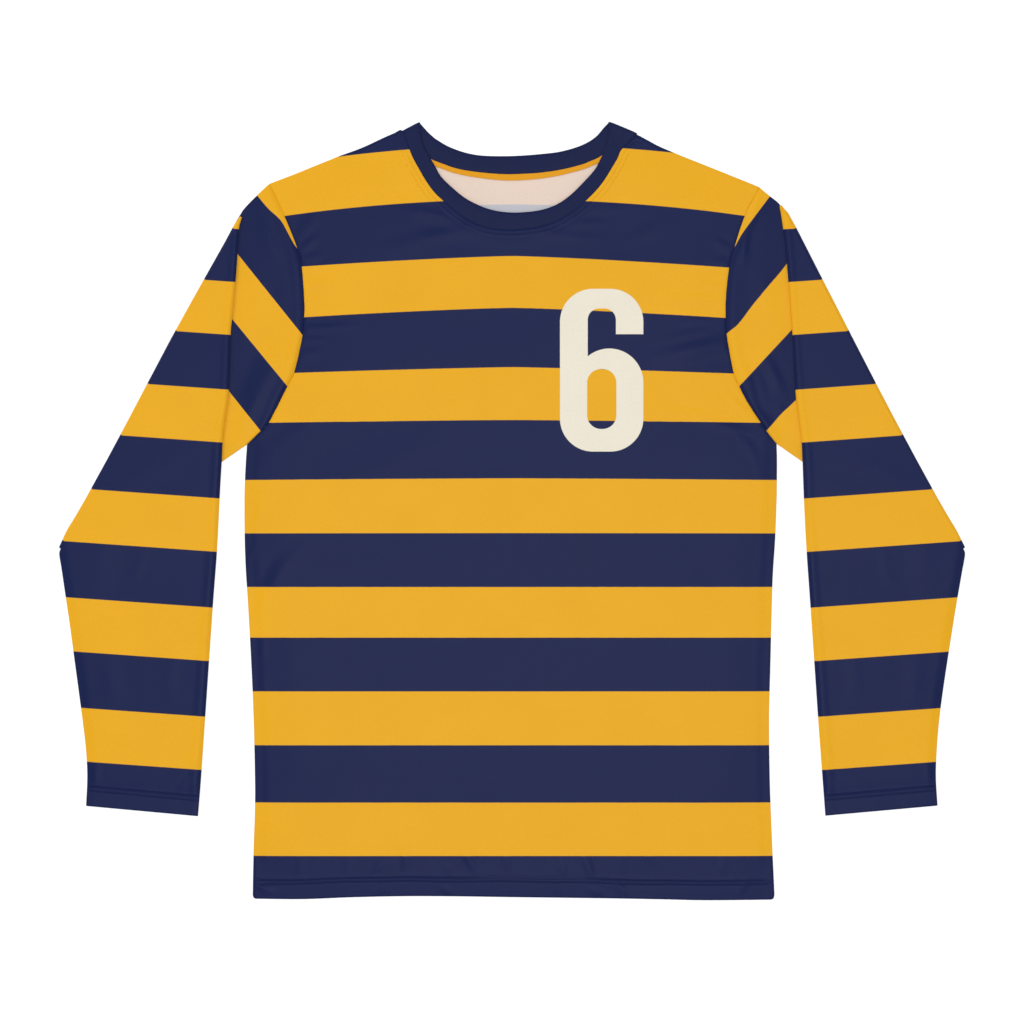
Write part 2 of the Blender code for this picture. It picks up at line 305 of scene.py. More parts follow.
# %% [markdown]
# The body's four sides are the hem, the two side seams with their armholes, and the shoulders
# with the neck between them. A joined side remembers where its corners lie, so that a column or
# a row of the grid ends exactly in each corner.

# %% The four sides of a body panel
RIM = (0.5, 1.2, 2.2, 3.8)
HEM_ROWS = (0.5, 1.2, 2.4, 5.0, 9.0, 12.0, 13.2, 13.8, 14.2, 14.7, 15.2, 15.6, 16.2, 17.0, 17.6,
            18.0, 18.5, 19.0, 19.4, 20.0, 21.0, 23.0, 26.0)
NECK_ROWS = (0.4, 0.9, 1.6, 2.6, 3.5, 3.9, 4.3, 5.0, 6.4, 7.8, 8.3, 8.8, 9.6, 12.0)
HEM_CORNERS = (-255.0, 1.4), (257.2, 0.8)
NECK_UNDER = 0.4
FINE_HEM = 0.17
COARSE = 1.9
SHOULDER_STEP, NECK_STEP, ARMHOLE_STEP = 1.0, 1.2, 0.95


def joined(parts, splits):
    """Several threads as one side, each over its own stretch of the shares in splits."""
    def at(share):
        for part, low, high in zip(parts, splits, splits[1:]):
            if share <= high:
                return part.at((share - low) / (high - low))
        return parts[-1].at(1.0)
    return at


def body_sides(neck_rows):
    corners = [Vector(corner) for corner in HEM_CORNERS]
    hem = Thread([corners[0], *smooth([Vector(point) for point in HEM]), corners[1]])
    up = []
    for side, corner in zip((-1, 1), corners):
        seam = Thread([*side_curve(SIDE_SEAMS[side], side).points, corner])
        up.append([backwards(seam), backwards(armholes[side])])
    neck = neck_curve(neck_rows)
    neck = Thread([neck.points[0], *moved_in(neck.points, -NECK_UNDER)[1:-1], neck.points[-1]])
    shoulders = [side_curve(SHOULDERS[side], side) for side in (-1, 1)]
    return hem, up, [backwards(shoulders[0]), neck, shoulders[1]]


def body_grid(neck_rows, cell, hem_rows, neck_edge_rows):
    """The flat grid of a body panel, and its edges as points by kind."""
    hem, up, top = body_sides(neck_rows)
    widths = [thread.length for thread in top]
    columns, splits = [], [0.0]
    steps = (SHOULDER_STEP, NECK_STEP, SHOULDER_STEP)
    for width, step, first, last in zip(widths, steps, (RIM, (), ()), ((), (), RIM)):
        low = splits[-1]
        high = low + width / sum(widths)
        columns += [low + (high - low) * s for s in shares(width, step * cell, first, last)][:-1]
        splits.append(high)
    columns.append(1.0)
    heights = [thread.length for thread in up[0]]
    rises = [0.0, heights[0] / sum(heights), 1.0]
    above_hem = shares(heights[0] * (1 - FINE_HEM), COARSE * cell)
    armhole = shares(heights[1], ARMHOLE_STEP * cell, (), neck_edge_rows)
    rows = [rises[1] * FINE_HEM * s for s in shares(heights[0] * FINE_HEM, cell, hem_rows)][:-1]
    rows += [rises[1] * (FINE_HEM + (1 - FINE_HEM) * s) for s in above_hem][:-1]
    rows += [rises[1] + (1 - rises[1]) * s for s in armhole]
    place = coons(hem.at, joined(top, splits), joined(up[0], rises), joined(up[1], rises))
    edges = {
        "hem": hem, "neck": top[1], "sides": [up[0][0], up[1][0]],
        "sewn": [top[0], top[2], up[0][0], up[1][0], up[0][1], up[1][1]],
    }
    return laid_grid(columns, rows, place), edges


def distance_to(threads, spacing=1.5):
    """A function that gives the distance from a point to the nearest of some threads."""
    places = [p for thread in threads for p in thread.even(max(2, round(thread.length / spacing)))]
    tree = KDTree(len(places))
    for i, point in enumerate(places):
        tree.insert(point.to_3d(), i)
    tree.balance()
    return lambda point: tree.find(Vector((point.x, point.y, 0.0)))[2]


# %% [markdown]
# Creases are listed one by one, a row each: where the middle is, which way it runs, how long and
# wide it is, how high, and how far it bends. A crease is a soft ridge that is steeper on one
# flank, with a shallow trough beside it, as in thin knit. Simulated cloth would crease in other
# places than this shirt does, so a table is the better tool here.

# %% Creases from a table
Crease = namedtuple("Crease", "across up turn length width height bend", defaults=(0,))


def ridge(value):
    """A ridge of height 1 at 0, a little steeper behind, with a shallow trough in front."""
    return math.exp(-value * value) - 0.35 * math.exp(-((value - 1.7) ** 2))


def crease_height(creases, place):
    total = 0.0
    for crease in creases:
        dx, dy = place.x - crease.across, place.y - crease.up
        if abs(dx) + abs(dy) > 2.2 * crease.length + 4 * crease.width:
            continue
        turn = math.radians(crease.turn)
        along = (dx * math.cos(turn) + dy * math.sin(turn)) / crease.length
        across = (dy * math.cos(turn) - dx * math.sin(turn)) - crease.bend * along * along
        total += crease.height * math.exp(-along * along) * ridge(across / crease.width)
    return total


def soft_step(value):
    value = min(max(value, 0.0), 1.0)
    return value * value * (3.0 - 2.0 * value)


def rolled(distance, width, drop):
    """How far a seam's edge rolls down: drop at the edge, nothing from width inwards."""
    inside = min(max(distance / width, 0.0), 1.0)
    return drop * (1.0 - math.sqrt(1.0 - (1.0 - inside) ** 2))


def groove(distance, width, depth):
    return depth * math.exp(-((distance / width) ** 2))


# %% [markdown]
# Thin knit never lies dead flat: it rises and falls by less than a millimetre over a hand's
# width. A few slow sine waves at odd angles are enough for that, and they give the same
# surface on every run, which random noise without a seed would not.

# %% Slow waves in the cloth
Wave = namedtuple("Wave", "length turn phase height")
SLOW_WAVES = table(
    Wave, (173, 17, 0.4, 0.16), (121, 74, 2.1, 0.13), (89, 128, 4.0, 0.09), (61, 43, 1.2, 0.05),
    (47, 101, 5.1, 0.04),
)


def slow_waves(place):
    total = 0.0
    for wave in SLOW_WAVES:
        turn = math.radians(wave.turn)
        along = place.x * math.cos(turn) + place.y * math.sin(turn)
        total += wave.height * math.sin(2 * math.pi * along / wave.length + wave.phase)
    return total


# %% [markdown]
# A finished piece keeps its place in its mesh, with its object at the origin. The cloth's own
# position, before any fold, is kept as a UV map in metres: the knit follows it. The stripe
# number is a second attribute, on the points.

# %% Finish a piece
def write_print(mesh, cloth_place, stripe):
    """Stores the unfolded place of each point as UV, and its stripe number."""
    uv = mesh.loops.layers.uv.new("cloth")
    number = mesh.verts.layers.float.new("stripe")
    mesh.verts.index_update()
    for vert in mesh.verts:
        vert[number] = stripe(vert)
    for face in mesh.faces:
        for loop in face.loops:
            place = cloth_place(loop.vert)
            loop[uv].uv = (place[0] * MM, place[1] * MM)


def add_object(name, data):
    thing = bpy.data.objects.new(name, data)
    bpy.context.scene.collection.objects.link(thing)
    return thing


def finish_piece(name, mesh, materials):
    bmesh.ops.scale(mesh, vec=(MM, MM, MM), verts=mesh.verts)
    bmesh.ops.translate(mesh, vec=(0.0, hem_line, 0.0), verts=mesh.verts)
    for face in mesh.faces:
        face.smooth = True
    data = bpy.data.meshes.new(name)
    mesh.to_mesh(data)
    mesh.free()
    for material in materials:
        data.materials.append(material)
    data.calc_loop_triangles()
    print(name, len(data.loop_triangles), "triangles")
    return add_object(name, data)


def thickened(mesh, under):
    """A second skin under a grid at the heights that under() gives, closed all round.
    Faces get material 0 on top, 1 underneath and 0 on the rim."""
    tops = mesh.faces[:]
    made = bmesh.ops.extrude_face_region(mesh, geom=tops, use_keep_orig=True)
    upper = [item for item in made["geom"] if isinstance(item, bmesh.types.BMVert)]
    raised = set(upper)
    for face in tops:
        face.material_index = 1
    for vert in mesh.verts:
        if vert not in raised:
            vert.co.z = under(vert.co)
    bmesh.ops.recalc_face_normals(mesh, faces=mesh.faces)
    return upper


# %% [markdown]
# Materials come before the pieces, so that each piece is made with its finish. Small helpers
# keep the node code short: each adds one node and returns its output.

# %% Node helpers
def linear(red, green, blue):
    """A colour picked on a screen, 0 to 255, as Blender's linear colour."""
    def channel(value):
        value /= 255.0
        return value / 12.92 if value <= 0.04045 else ((value + 0.055) / 1.055) ** 2.4
    return (channel(red), channel(green), channel(blue), 1.0)


class Nodes:
    """Builds one material's nodes, one call for each node."""

    def __init__(self, name):
        self.material = bpy.data.materials.new(name)
        self.material.use_nodes = True
        self.tree = self.material.node_tree
        self.shader = self.tree.nodes["Principled BSDF"]

    def feed(self, socket, value):
        if isinstance(value, bpy.types.NodeSocket):
            self.tree.links.new(value, socket)
        else:
            socket.default_value = value

    def finish(self, inputs):
        """Sets or links the shader's inputs and returns the material."""
        for name, value in inputs.items():
            self.feed(self.shader.inputs[name], value)
        return self.material

    def add(self, kind, inputs=None, **settings):
        node = self.tree.nodes.new(kind)
        for key, value in settings.items():
            setattr(node, key, value)
        for key, value in (inputs or {}).items():
            self.feed(node.inputs[key], value)
        return node

    def math(self, operation, a, b=0.0, c=0.0):
        return self.add("ShaderNodeMath", {0: a, 1: b, 2: c}, operation=operation).outputs[0]

    def vector(self, operation, a, b=(0.0, 0.0, 0.0)):
        node = self.add("ShaderNodeVectorMath", {0: a, 1: b}, operation=operation)
        return node.outputs["Value" if operation == "LENGTH" else "Vector"]

    def mix(self, factor, a, b, blend="MIX"):
        node = self.add("ShaderNodeMix", data_type="RGBA", blend_type=blend)
        for socket, value in zip((node.inputs[0], node.inputs[6], node.inputs[7]), (factor, a, b)):
            self.feed(socket, value)
        return node.outputs[2]

    def shaded(self, colour, tone):
        """A colour made lighter or darker by a tone round 1."""
        grey = self.add("ShaderNodeCombineColor", {0: tone, 1: tone, 2: tone}).outputs[0]
        return self.mix(1.0, colour, grey, "MULTIPLY")

    def bump(self, height, strength, distance):
        inputs = {"Height": height, "Strength": strength, "Distance": distance}
        return self.add("ShaderNodeBump", inputs).outputs[0]

    def noise(self, vector, scale, detail=3.0):
        node = self.add("ShaderNodeTexNoise", {"Vector": vector, "Scale": scale, "Detail": detail})
        return node.outputs["Fac"]

    def cloth_place(self):
        return self.add("ShaderNodeUVMap", uv_map="cloth").outputs["UV"]

    def attribute(self, name):
        return self.add("ShaderNodeAttribute", attribute_name=name).outputs["Fac"]


# %% [markdown]
# The knit shows as columns of small V stitches. Their height comes from two waves along the
# cloth's own position: one across, and one that bends it into Vs. It is only bump, because a
# stitch is less than a millimetre wide.

# %% The knit
WALE = 0.00095
COURSE = 0.00075
STITCH_RELIEF = 0.0003
NAVY = linear(15, 27, 73)
YELLOW = linear(234, 171, 26)
CREAM = linear(236, 229, 211)


def knit_height(nodes, place):
    parts = nodes.add("ShaderNodeSeparateXYZ", {0: place})
    across = nodes.math("DIVIDE", parts.outputs[0], WALE)
    along = nodes.math("DIVIDE", parts.outputs[1], COURSE)
    saw = nodes.math("PINGPONG", across, 0.5)
    lean = nodes.math("MULTIPLY_ADD", saw, 0.9, along)
    leg = nodes.math("SINE", nodes.math("MULTIPLY", lean, 2 * math.pi))
    column = nodes.math("SINE", nodes.math("MULTIPLY", across, 2 * math.pi))
    return nodes.math("MULTIPLY_ADD", leg, 0.5, nodes.math("MULTIPLY", column, 0.5))


def finish_knit(nodes, colour, place, bump=0.12):
    """Soft polyester knit: matt, with a faint sheen, and slightly uneven in tone."""
    mottle = nodes.noise(place, 380.0)
    cloud = nodes.noise(place, 22.0, 2.0)
    tone = nodes.math("MULTIPLY_ADD", mottle, 0.10, 0.95)
    tone = nodes.math("MULTIPLY", tone, nodes.math("MULTIPLY_ADD", cloud, 0.06, 0.97))
    fuzz = nodes.noise(place, 1500.0, 2.0)
    surface = nodes.math("MULTIPLY_ADD", fuzz, 0.6, knit_height(nodes, place))
    return nodes.finish({
        "Base Color": nodes.shaded(colour, tone),
        "Normal": nodes.bump(surface, bump, STITCH_RELIEF),
        "Roughness": 0.42, "Specular IOR Level": 0.12,
        "Sheen Weight": 0.04, "Sheen Roughness": 0.5,
    })


# %% [markdown]
# The print is sharp: a stripe's border is only as soft as dye in knit, a few tenths of a
# millimetre. The number on the chest is a plain block figure, built from rounded boxes. For
# each box the nodes work out how far a point is outside it, and the boxes are joined and cut
# with minimum and maximum.

# %% The print
SOFT_BORDER = 0.012
INK_EDGE = 0.0005


def stripe_mask(nodes):
    """1 on yellow stripes and 0 on navy ones."""
    wave = nodes.math("PINGPONG", nodes.math("ADD", nodes.attribute("stripe"), 1.5), 1.0)
    mask = nodes.math("DIVIDE", nodes.math("SUBTRACT", wave, 0.5), SOFT_BORDER)
    return nodes.add("ShaderNodeClamp", {0: nodes.math("ADD", mask, 0.5)}).outputs[0]


def outside_box(nodes, place, low, high, radius):
    """How far a place is outside a box with round corners, given by two corners in millimetres."""
    centre = [(a + b) / 2 * MM for a, b in zip(low, high)] + [0.0]
    half = [(b - a) / 2 * MM - radius * MM for a, b in zip(low, high)] + [0.0]
    offset = nodes.vector("ABSOLUTE", nodes.vector("SUBTRACT", place, centre))
    corner = nodes.vector("MAXIMUM", nodes.vector("SUBTRACT", offset, half))
    return nodes.math("SUBTRACT", nodes.vector("LENGTH", corner), radius * MM)


NUMBER_LEFT, NUMBER_RIGHT = 46.7, 128.7
NUMBER_FOOT, NUMBER_TOP = 440.4, 600.5
WINDOW_LEFT, WINDOW_RIGHT = 74.0, 101.7


def number_mask(nodes, place):
    """1 on the figure 6 and 0 beside it."""
    whole = outside_box(nodes, place, (NUMBER_LEFT, NUMBER_FOOT), (NUMBER_RIGHT, NUMBER_TOP), 32.5)
    hook = outside_box(nodes, place, (WINDOW_LEFT, 500.0), (WINDOW_RIGHT, 581.2), 11.3)
    mouth = outside_box(nodes, place, (WINDOW_LEFT, 500.0), (NUMBER_RIGHT + 20, 555.9), 6.0)
    bowl = outside_box(nodes, place, (62.0, NUMBER_FOOT), (NUMBER_RIGHT, 541.8), 33.5)
    eye = outside_box(nodes, place, (WINDOW_LEFT - 0.6, 462.6), (WINDOW_RIGHT + 0.5, 521.6), 13.6)
    cut = nodes.math("MINIMUM", hook, mouth)
    stem = nodes.math("MAXIMUM", whole, nodes.math("MULTIPLY", cut, -1.0))
    figure = nodes.math("MINIMUM", stem, bowl)
    ink = nodes.math("MAXIMUM", figure, nodes.math("MULTIPLY", eye, -1.0))
    edge = nodes.math("MULTIPLY_ADD", ink, -1.0 / INK_EDGE, 0.5)
    return nodes.add("ShaderNodeClamp", {0: edge}).outputs[0]


# %% [markdown]
# The dye is printed on the outside only. Inside, the cloth is white and the stripes show
# through as pale tints.

# %% Cloth materials
def striped_knit(name, with_number=False):
    nodes = Nodes(name)
    place = nodes.cloth_place()
    colour = nodes.mix(stripe_mask(nodes), NAVY, YELLOW)
    if with_number:
        colour = nodes.mix(number_mask(nodes, place), colour, CREAM)
    return finish_knit(nodes, colour, place)


def inside_knit(name):
    nodes = Nodes(name)
    place = nodes.cloth_place()
    colour = nodes.mix(stripe_mask(nodes), linear(192, 192, 200), linear(231, 210, 195))
    return finish_knit(nodes, colour, place)


def plain_knit(name, colour, bump=0.12):
    nodes = Nodes(name)
    return finish_knit(nodes, colour, nodes.cloth_place(), bump=bump)


front_knit = striped_knit("front_knit", with_number=True)
back_knit = striped_knit("back_knit")
sleeve_knit = striped_knit("sleeve_knit")
inside_print = inside_knit("knit_inside")
band_knit = plain_knit("band_knit", linear(14, 25, 68), bump=0.2)
seam_knit = plain_knit("seam_knit", linear(229, 157, 24), bump=0.25)
print("materials:", [m.name for m in bpy.data.materials if m.users == 0])

# %% [markdown]
# The front lies loosely on the back, and its seams pull it down at the sides. The hem is turned
# up inside, so the cloth is double there and stands a little higher, and both needle rows press
# a groove into it. The same goes for the rows beside the neck band.

# %% Heights of the front
TUBE = 2 * CLOTH + GAP
PUFF, PUFF_REACH = 1.0, 45.0
NECK_LIFT, NECK_REACH = 0.9, 26.0
HEM_NEEDLES = (14.7, 18.5)
NECK_NEEDLES = (3.9, 8.3)
HEM_GROOVES = (0.42, 0.6)
HEM_GROOVE_WIDTH = 0.85
NECK_GROOVE = (0.8, 0.32)
HEM_DEPTH = 21.8
HEM_STEP = 0.45
HEM_LOOSE = 18.0
STEP_FADE = 2.0
SEWN_FADE, OPEN_FADE = 4.0, 5.0
SIDE_DROP, SIDE_STRIP, SIDE_FADE = 0.65, 5.0, 9.0
DROP_START, DROP_FADE = 24.0, 20.0
SEAM_ROLL, NECK_ROLL, HEM_ROLL = (3.2, 0.95), (2.4, 0.9), (1.3, 0.8)
THINNEST = 0.15

FRONT_CREASES = table(
    Crease, (183, 541, 192, 36, 8, 1.25), (173, 556, 194, 24, 4, 0.45),
    (184, 569, 184, 18, 4, 0.35), (175, 591, 176, 36, 4.5, 0.4), (153, 585, 186, 16, 4, 0.3),
    (206, 466, -14, 22, 4.5, 0.7), (236, 440, -58, 12, 3.5, 0.55), (222, 486, -42, 12, 3.5, 0.5),
    (175, 478, -6, 34, 4, 0.4), (242, 418, -72, 14, 4, 0.25), (226, 451, -40, 9, 3.2, 0.45),
    (-232, 316, 58, 20, 6.5, 1.25, -1), (-246, 287, 66, 10, 5, 0.7), (-212, 341, 26, 10, 5, 0.5),
    (-250, 375, 60, 14, 4, 0.7), (-256, 343, 70, 10, 3.5, 0.5), (-246, 247, 88, 12, 3.5, 0.45),
    (-246, 212, 86, 10, 3.5, 0.35), (-200, 645, 40, 10, 3.5, 0.7), (-198, 631, 4, 8, 3.5, 0.55),
    (-193, 604, 2, 13, 4.5, 0.6), (-196, 589, -4, 11, 3.5, 0.4), (-189, 562, 3, 24, 3, 0.75),
    (-194, 550, -4, 9, 3.2, 0.5), (-198, 537, 8, 10, 4.5, 0.5), (-201, 662, 58, 14, 6, 0.5),
    (-191, 621, -2, 9, 3.5, 0.3), (206, 644, -30, 9, 3.5, 0.4), (205, 627, -6, 9, 3.5, 0.35),
    (200, 603, -8, 12, 3.5, 0.35), (-81, 674, -17, 20, 4.5, 0.75, -2), (-71, 653, 8, 34, 6, 0.8),
    (-42, 663, -6, 18, 4, 0.3), (-103, 641, 4, 26, 6, 0.35), (76, 664, 8, 14, 3.8, 0.6),
    (66, 651, -4, 20, 4.5, 0.45), (96, 679, 6, 18, 4.5, 0.4), (35, 655, -6, 16, 4, 0.35),
    (131, 655, 30, 18, 6, 0.35), (-209, 462, 32, 22, 6, 0.2), (-237, 440, 46, 16, 5, 0.2),
    (-132, 32, 48, 7, 3.0, 0.8), (-105, 40, 90, 13, 3.2, 0.8), (-62, 28, -44, 5, 3.0, 0.8),
    (-42, 38, -60, 13, 3.4, 1.15), (-162, 33, 82, 9, 3.8, 0.35), (-5, 38, -78, 10, 3.4, 0.7),
    (75, 32, -68, 13, 3.4, 1.15), (50, 31, -76, 7, 3.2, 0.75), (133, 45, -52, 11, 4.0, 0.7),
    (23, 37, 86, 10, 3.8, 0.3), (108, 37, -80, 10, 3.6, 0.35), (206, 31, 84, 9, 3.8, 0.45),
    (-209, 31, 88, 9, 4, 0.35), (-243, 10, -24, 8, 3.0, 0.9), (-65, 9, -46, 7, 3.0, 0.95),
    (-128, 10, 60, 6, 3.0, 0.5), (82, 8, -36, 8, 3.0, 0.95), (43, 11, -64, 6, 3.0, 0.6),
    (106, 11, -40, 8, 3.0, 0.9), (227, 13, 60, 7, 3.0, 0.6), (0, 10, 88, 6, 3.2, 0.25),
    (-60, 260, 20, 90, 16, 0.4), (70, 180, -24, 100, 18, 0.4), (-150, 150, 62, 80, 14, 0.35),
    (40, 360, 12, 110, 18, 0.35), (180, 300, -58, 80, 14, 0.35), (-120, 430, 24, 90, 16, 0.35),
)


def row_wander(across):
    """The needle rows of the hem are not ruled lines: they wander by half a millimetre."""
    return 0.4 * math.sin(across / 31.0 + 0.6) + 0.25 * math.sin(across / 13.7 + 2.2)


def front_heights(edges):
    """A function that gives the height of the front's upper side at a place."""
    from_sewn = distance_to(edges["sewn"])
    from_neck = distance_to([edges["neck"]])
    from_hem = distance_to([edges["hem"]])
    from_sides = distance_to(edges["sides"])

    def height(place):
        sewn, neck, hem = from_sewn(place), from_neck(place), from_hem(place)
        free = soft_step(min(sewn, hem + HEM_LOOSE) / PUFF_REACH)
        top = TUBE + free * (PUFF + slow_waves(place))
        creased = soft_step(sewn / SEWN_FADE) * soft_step(hem / OPEN_FADE)
        top += creased * crease_height(FRONT_CREASES, place)
        inward = soft_step((from_sides(place) - SIDE_STRIP) / SIDE_FADE)
        top -= SIDE_DROP * (1.0 - inward) * soft_step((hem - DROP_START) / DROP_FADE)
        top += NECK_LIFT * (1.0 - soft_step(neck / NECK_REACH))
        top += HEM_STEP * soft_step((HEM_DEPTH - hem) / STEP_FADE)
        for row, depth in zip(HEM_NEEDLES, HEM_GROOVES):
            top -= groove(hem - row - row_wander(place.x), HEM_GROOVE_WIDTH, depth)
        for row in NECK_NEEDLES:
            top -= groove(neck - row, *NECK_GROOVE)
        top -= rolled(sewn, *SEAM_ROLL) + rolled(neck, *NECK_ROLL) + rolled(hem, *HEM_ROLL)
        return max(top, CLOTH + GAP + THINNEST)

    return height


# %% [markdown]
# The front panel itself: the grid, its height on top, and its under side one wall lower, but
# never lower than just above the back.

# %% Front panel
CELL = 2.9


def make_front():
    mesh, edges = body_grid(FRONT_NECK_SEAM, CELL, HEM_ROWS, NECK_ROWS)
    height = front_heights(edges)
    for vert in mesh.verts:
        vert.co.z = height(vert.co)
    thickened(mesh, lambda co: max(co.z - CLOTH, CLOTH + GAP))
    write_print(mesh, lambda v: v.co, lambda v: body_stripe(v.co.x, v.co.y))
    return finish_piece("front_cloth", mesh, [front_knit, inside_print]), edges, height


front, front_edges, front_height = make_front()

# %% [markdown]
# The back lies on the table, so its outside is flat, with only its seam edges rolled up and the
# turned hem. Its inside shows in the neck.

# %% Back panel
BACK_CELL = 6.5
BACK_SEAM_ROLL, BACK_NECK_ROLL, BACK_HEM_ROLL = (2.6, 0.7), (1.4, 0.5), (1.2, 0.5)
BACK_HEM_GROOVE, BACK_NECK_GROOVE = (0.7, 0.25), (0.6, 0.2)


def make_back():
    mesh, edges = body_grid(BACK_NECK_SEAM, BACK_CELL, HEM_ROWS, NECK_ROWS)
    from_sewn = distance_to(edges["sewn"])
    from_neck = distance_to([edges["neck"]])
    from_hem = distance_to([edges["hem"]])
    for vert in mesh.verts:
        vert.co.z = CLOTH

    def under(co):
        sewn, neck, hem = from_sewn(co), from_neck(co), from_hem(co)
        low = rolled(sewn, *BACK_SEAM_ROLL) + rolled(neck, *BACK_NECK_ROLL)
        low += rolled(hem, *BACK_HEM_ROLL)
        for row in HEM_NEEDLES:
            low += groove(hem - row, *BACK_HEM_GROOVE)
        for row in NECK_NEEDLES:
            low += groove(neck - row, *BACK_NECK_GROOVE)
        return min(low, CLOTH - THINNEST)

    thickened(mesh, under)
    for face in mesh.faces:
        face.material_index = 1 if face.normal.z > 0.5 else 0
    write_print(mesh, lambda v: v.co, lambda v: body_stripe(v.co.x, v.co.y, BACK_BORDERS))
    return finish_piece("back_cloth", mesh, [back_knit, inside_print]), edges


back, back_edges = make_back()

# %% [markdown]
# A sleeve is a tube that lies flat, folded once along a slanted line. The fold is worked out
# like paper: past the fold line every layer turns about one axis just above the tube, so layers
# keep their order and never cut each other. The lines across the sleeve run from the armhole to
# the fold, round the fold, and on to the cuff, and the same lines carry the outer and the inner
# skin of the cloth.

# %% Measures of the sleeves
FOLD_TOP = {-1: Point(268.4, 672.1), 1: Point(264.8, 683.3)}
FOLD_FOOT = {-1: Point(446.6, 346.0), 1: Point(445.6, 346.0)}
FOLD_EDGE = {
    -1: table(
        Point, (269.6, 671.2), (272.0, 667.7), (274.1, 664), (276.0, 660), (278.1, 656),
        (283.3, 646.2), (299.9, 616.7), (315.4, 589.1), (337.1, 549.8), (357.9, 510.4),
        (378.6, 471.0), (399.6, 431.6), (421.2, 392.3), (432.6, 372.6), (438.9, 362.7),
    ),
    1: table(
        Point, (266.5, 682.2), (268.0, 679.4), (271.3, 675.5), (273.8, 671.5), (275.6, 667.6),
        (277.7, 664.0), (286.8, 646.2), (301.8, 616.7), (316.0, 589.1), (336.1, 549.8),
        (356.4, 510.4), (377.0, 471.0), (398.1, 431.6), (419.7, 392.3), (431.1, 372.6),
        (437.3, 362.7),
    ),
}
INNER_EDGE = {
    -1: table(
        Point, (269.0, 659.2), (270.3, 638.5), (271.9, 614), (275.8, 571.7), (277.2, 555),
        (279.0, 500), (282.2, 476), (285.1, 450), (286.0, 430), (287.8, 400), (290.9, 343),
        (294.6, 293.8), (298.7, 234.7), (302.7, 175.7), (306.8, 116.6), (309.6, 81.5),
    ),
    1: table(
        Point, (266.2, 659.2), (268.5, 638.5), (270.0, 624), (275.0, 560), (278.4, 498),
        (281.5, 474), (284.4, 449), (285.3, 430), (286.8, 392), (289.5, 343), (292.9, 293.8),
        (297.0, 234.7), (301.0, 175.7), (305.4, 116.6), (308.0, 82.0),
    ),
}
OUTER_EDGE = {
    -1: table(
        Point, (445.9, 340), (444.7, 331.2), (443.4, 323.3), (439.3, 293.8), (435.1, 264.3),
        (431.2, 234.7), (427.2, 205.2), (423.3, 175.7), (419.9, 146.1), (418.7, 120),
        (419.9, 91.6),
    ),
    1: table(
        Point, (445.2, 340), (444.0, 331.2), (442.5, 323.3), (437.6, 293.8), (432.9, 264.3),
        (428.3, 234.7), (423.9, 205.2), (420.1, 175.7), (417.7, 146.1), (416.9, 120),
        (418.5, 91.9),
    ),
}
UNDERARM_SAG = 8.0
TOP_SHARE = 0.14
Bulge = namedtuple("Bulge", "height power")
SHOULDER_BULGES = {-1: Bulge(5.1, 0.75), 1: Bulge(2.7, 1.6)}
WANDER_REACH = 70.0
WANDER_START = 3.5
REACH = TUBE + GAP / 2
MIDDLE = CLOTH + GAP / 2
SLEEVE_CELL = 3.8
CUFF_NEEDLES = (15.0, 19.3)
CUFF_GROOVES = (0.3, 0.7)
CUFF_DEPTH = 22.8
CUFF_STEP = 0.45
CUFF_ROLL, HEAD_ROLL = (1.2, 0.6), (2.4, 0.75)
CUFF_LINES = (0.5, 1.2, 2.4, 4.5, 8.0, 12.0, 13.5, 14.1, 14.5, 15.0, 15.5, 15.9, 16.5, 17.6,
              18.4, 18.8, 19.3, 19.8, 20.2, 20.8, 21.8, 24.0)


def out_at(points, up):
    """How far out a line of points lies at a height, straight between its points."""
    for above, below in zip(points, points[1:]):
        if up >= below.up:
            part = min(max((above.up - up) / (above.up - below.up), 0.0), 1.0)
            return above.out + (below.out - above.out) * part
    return points[-1].out


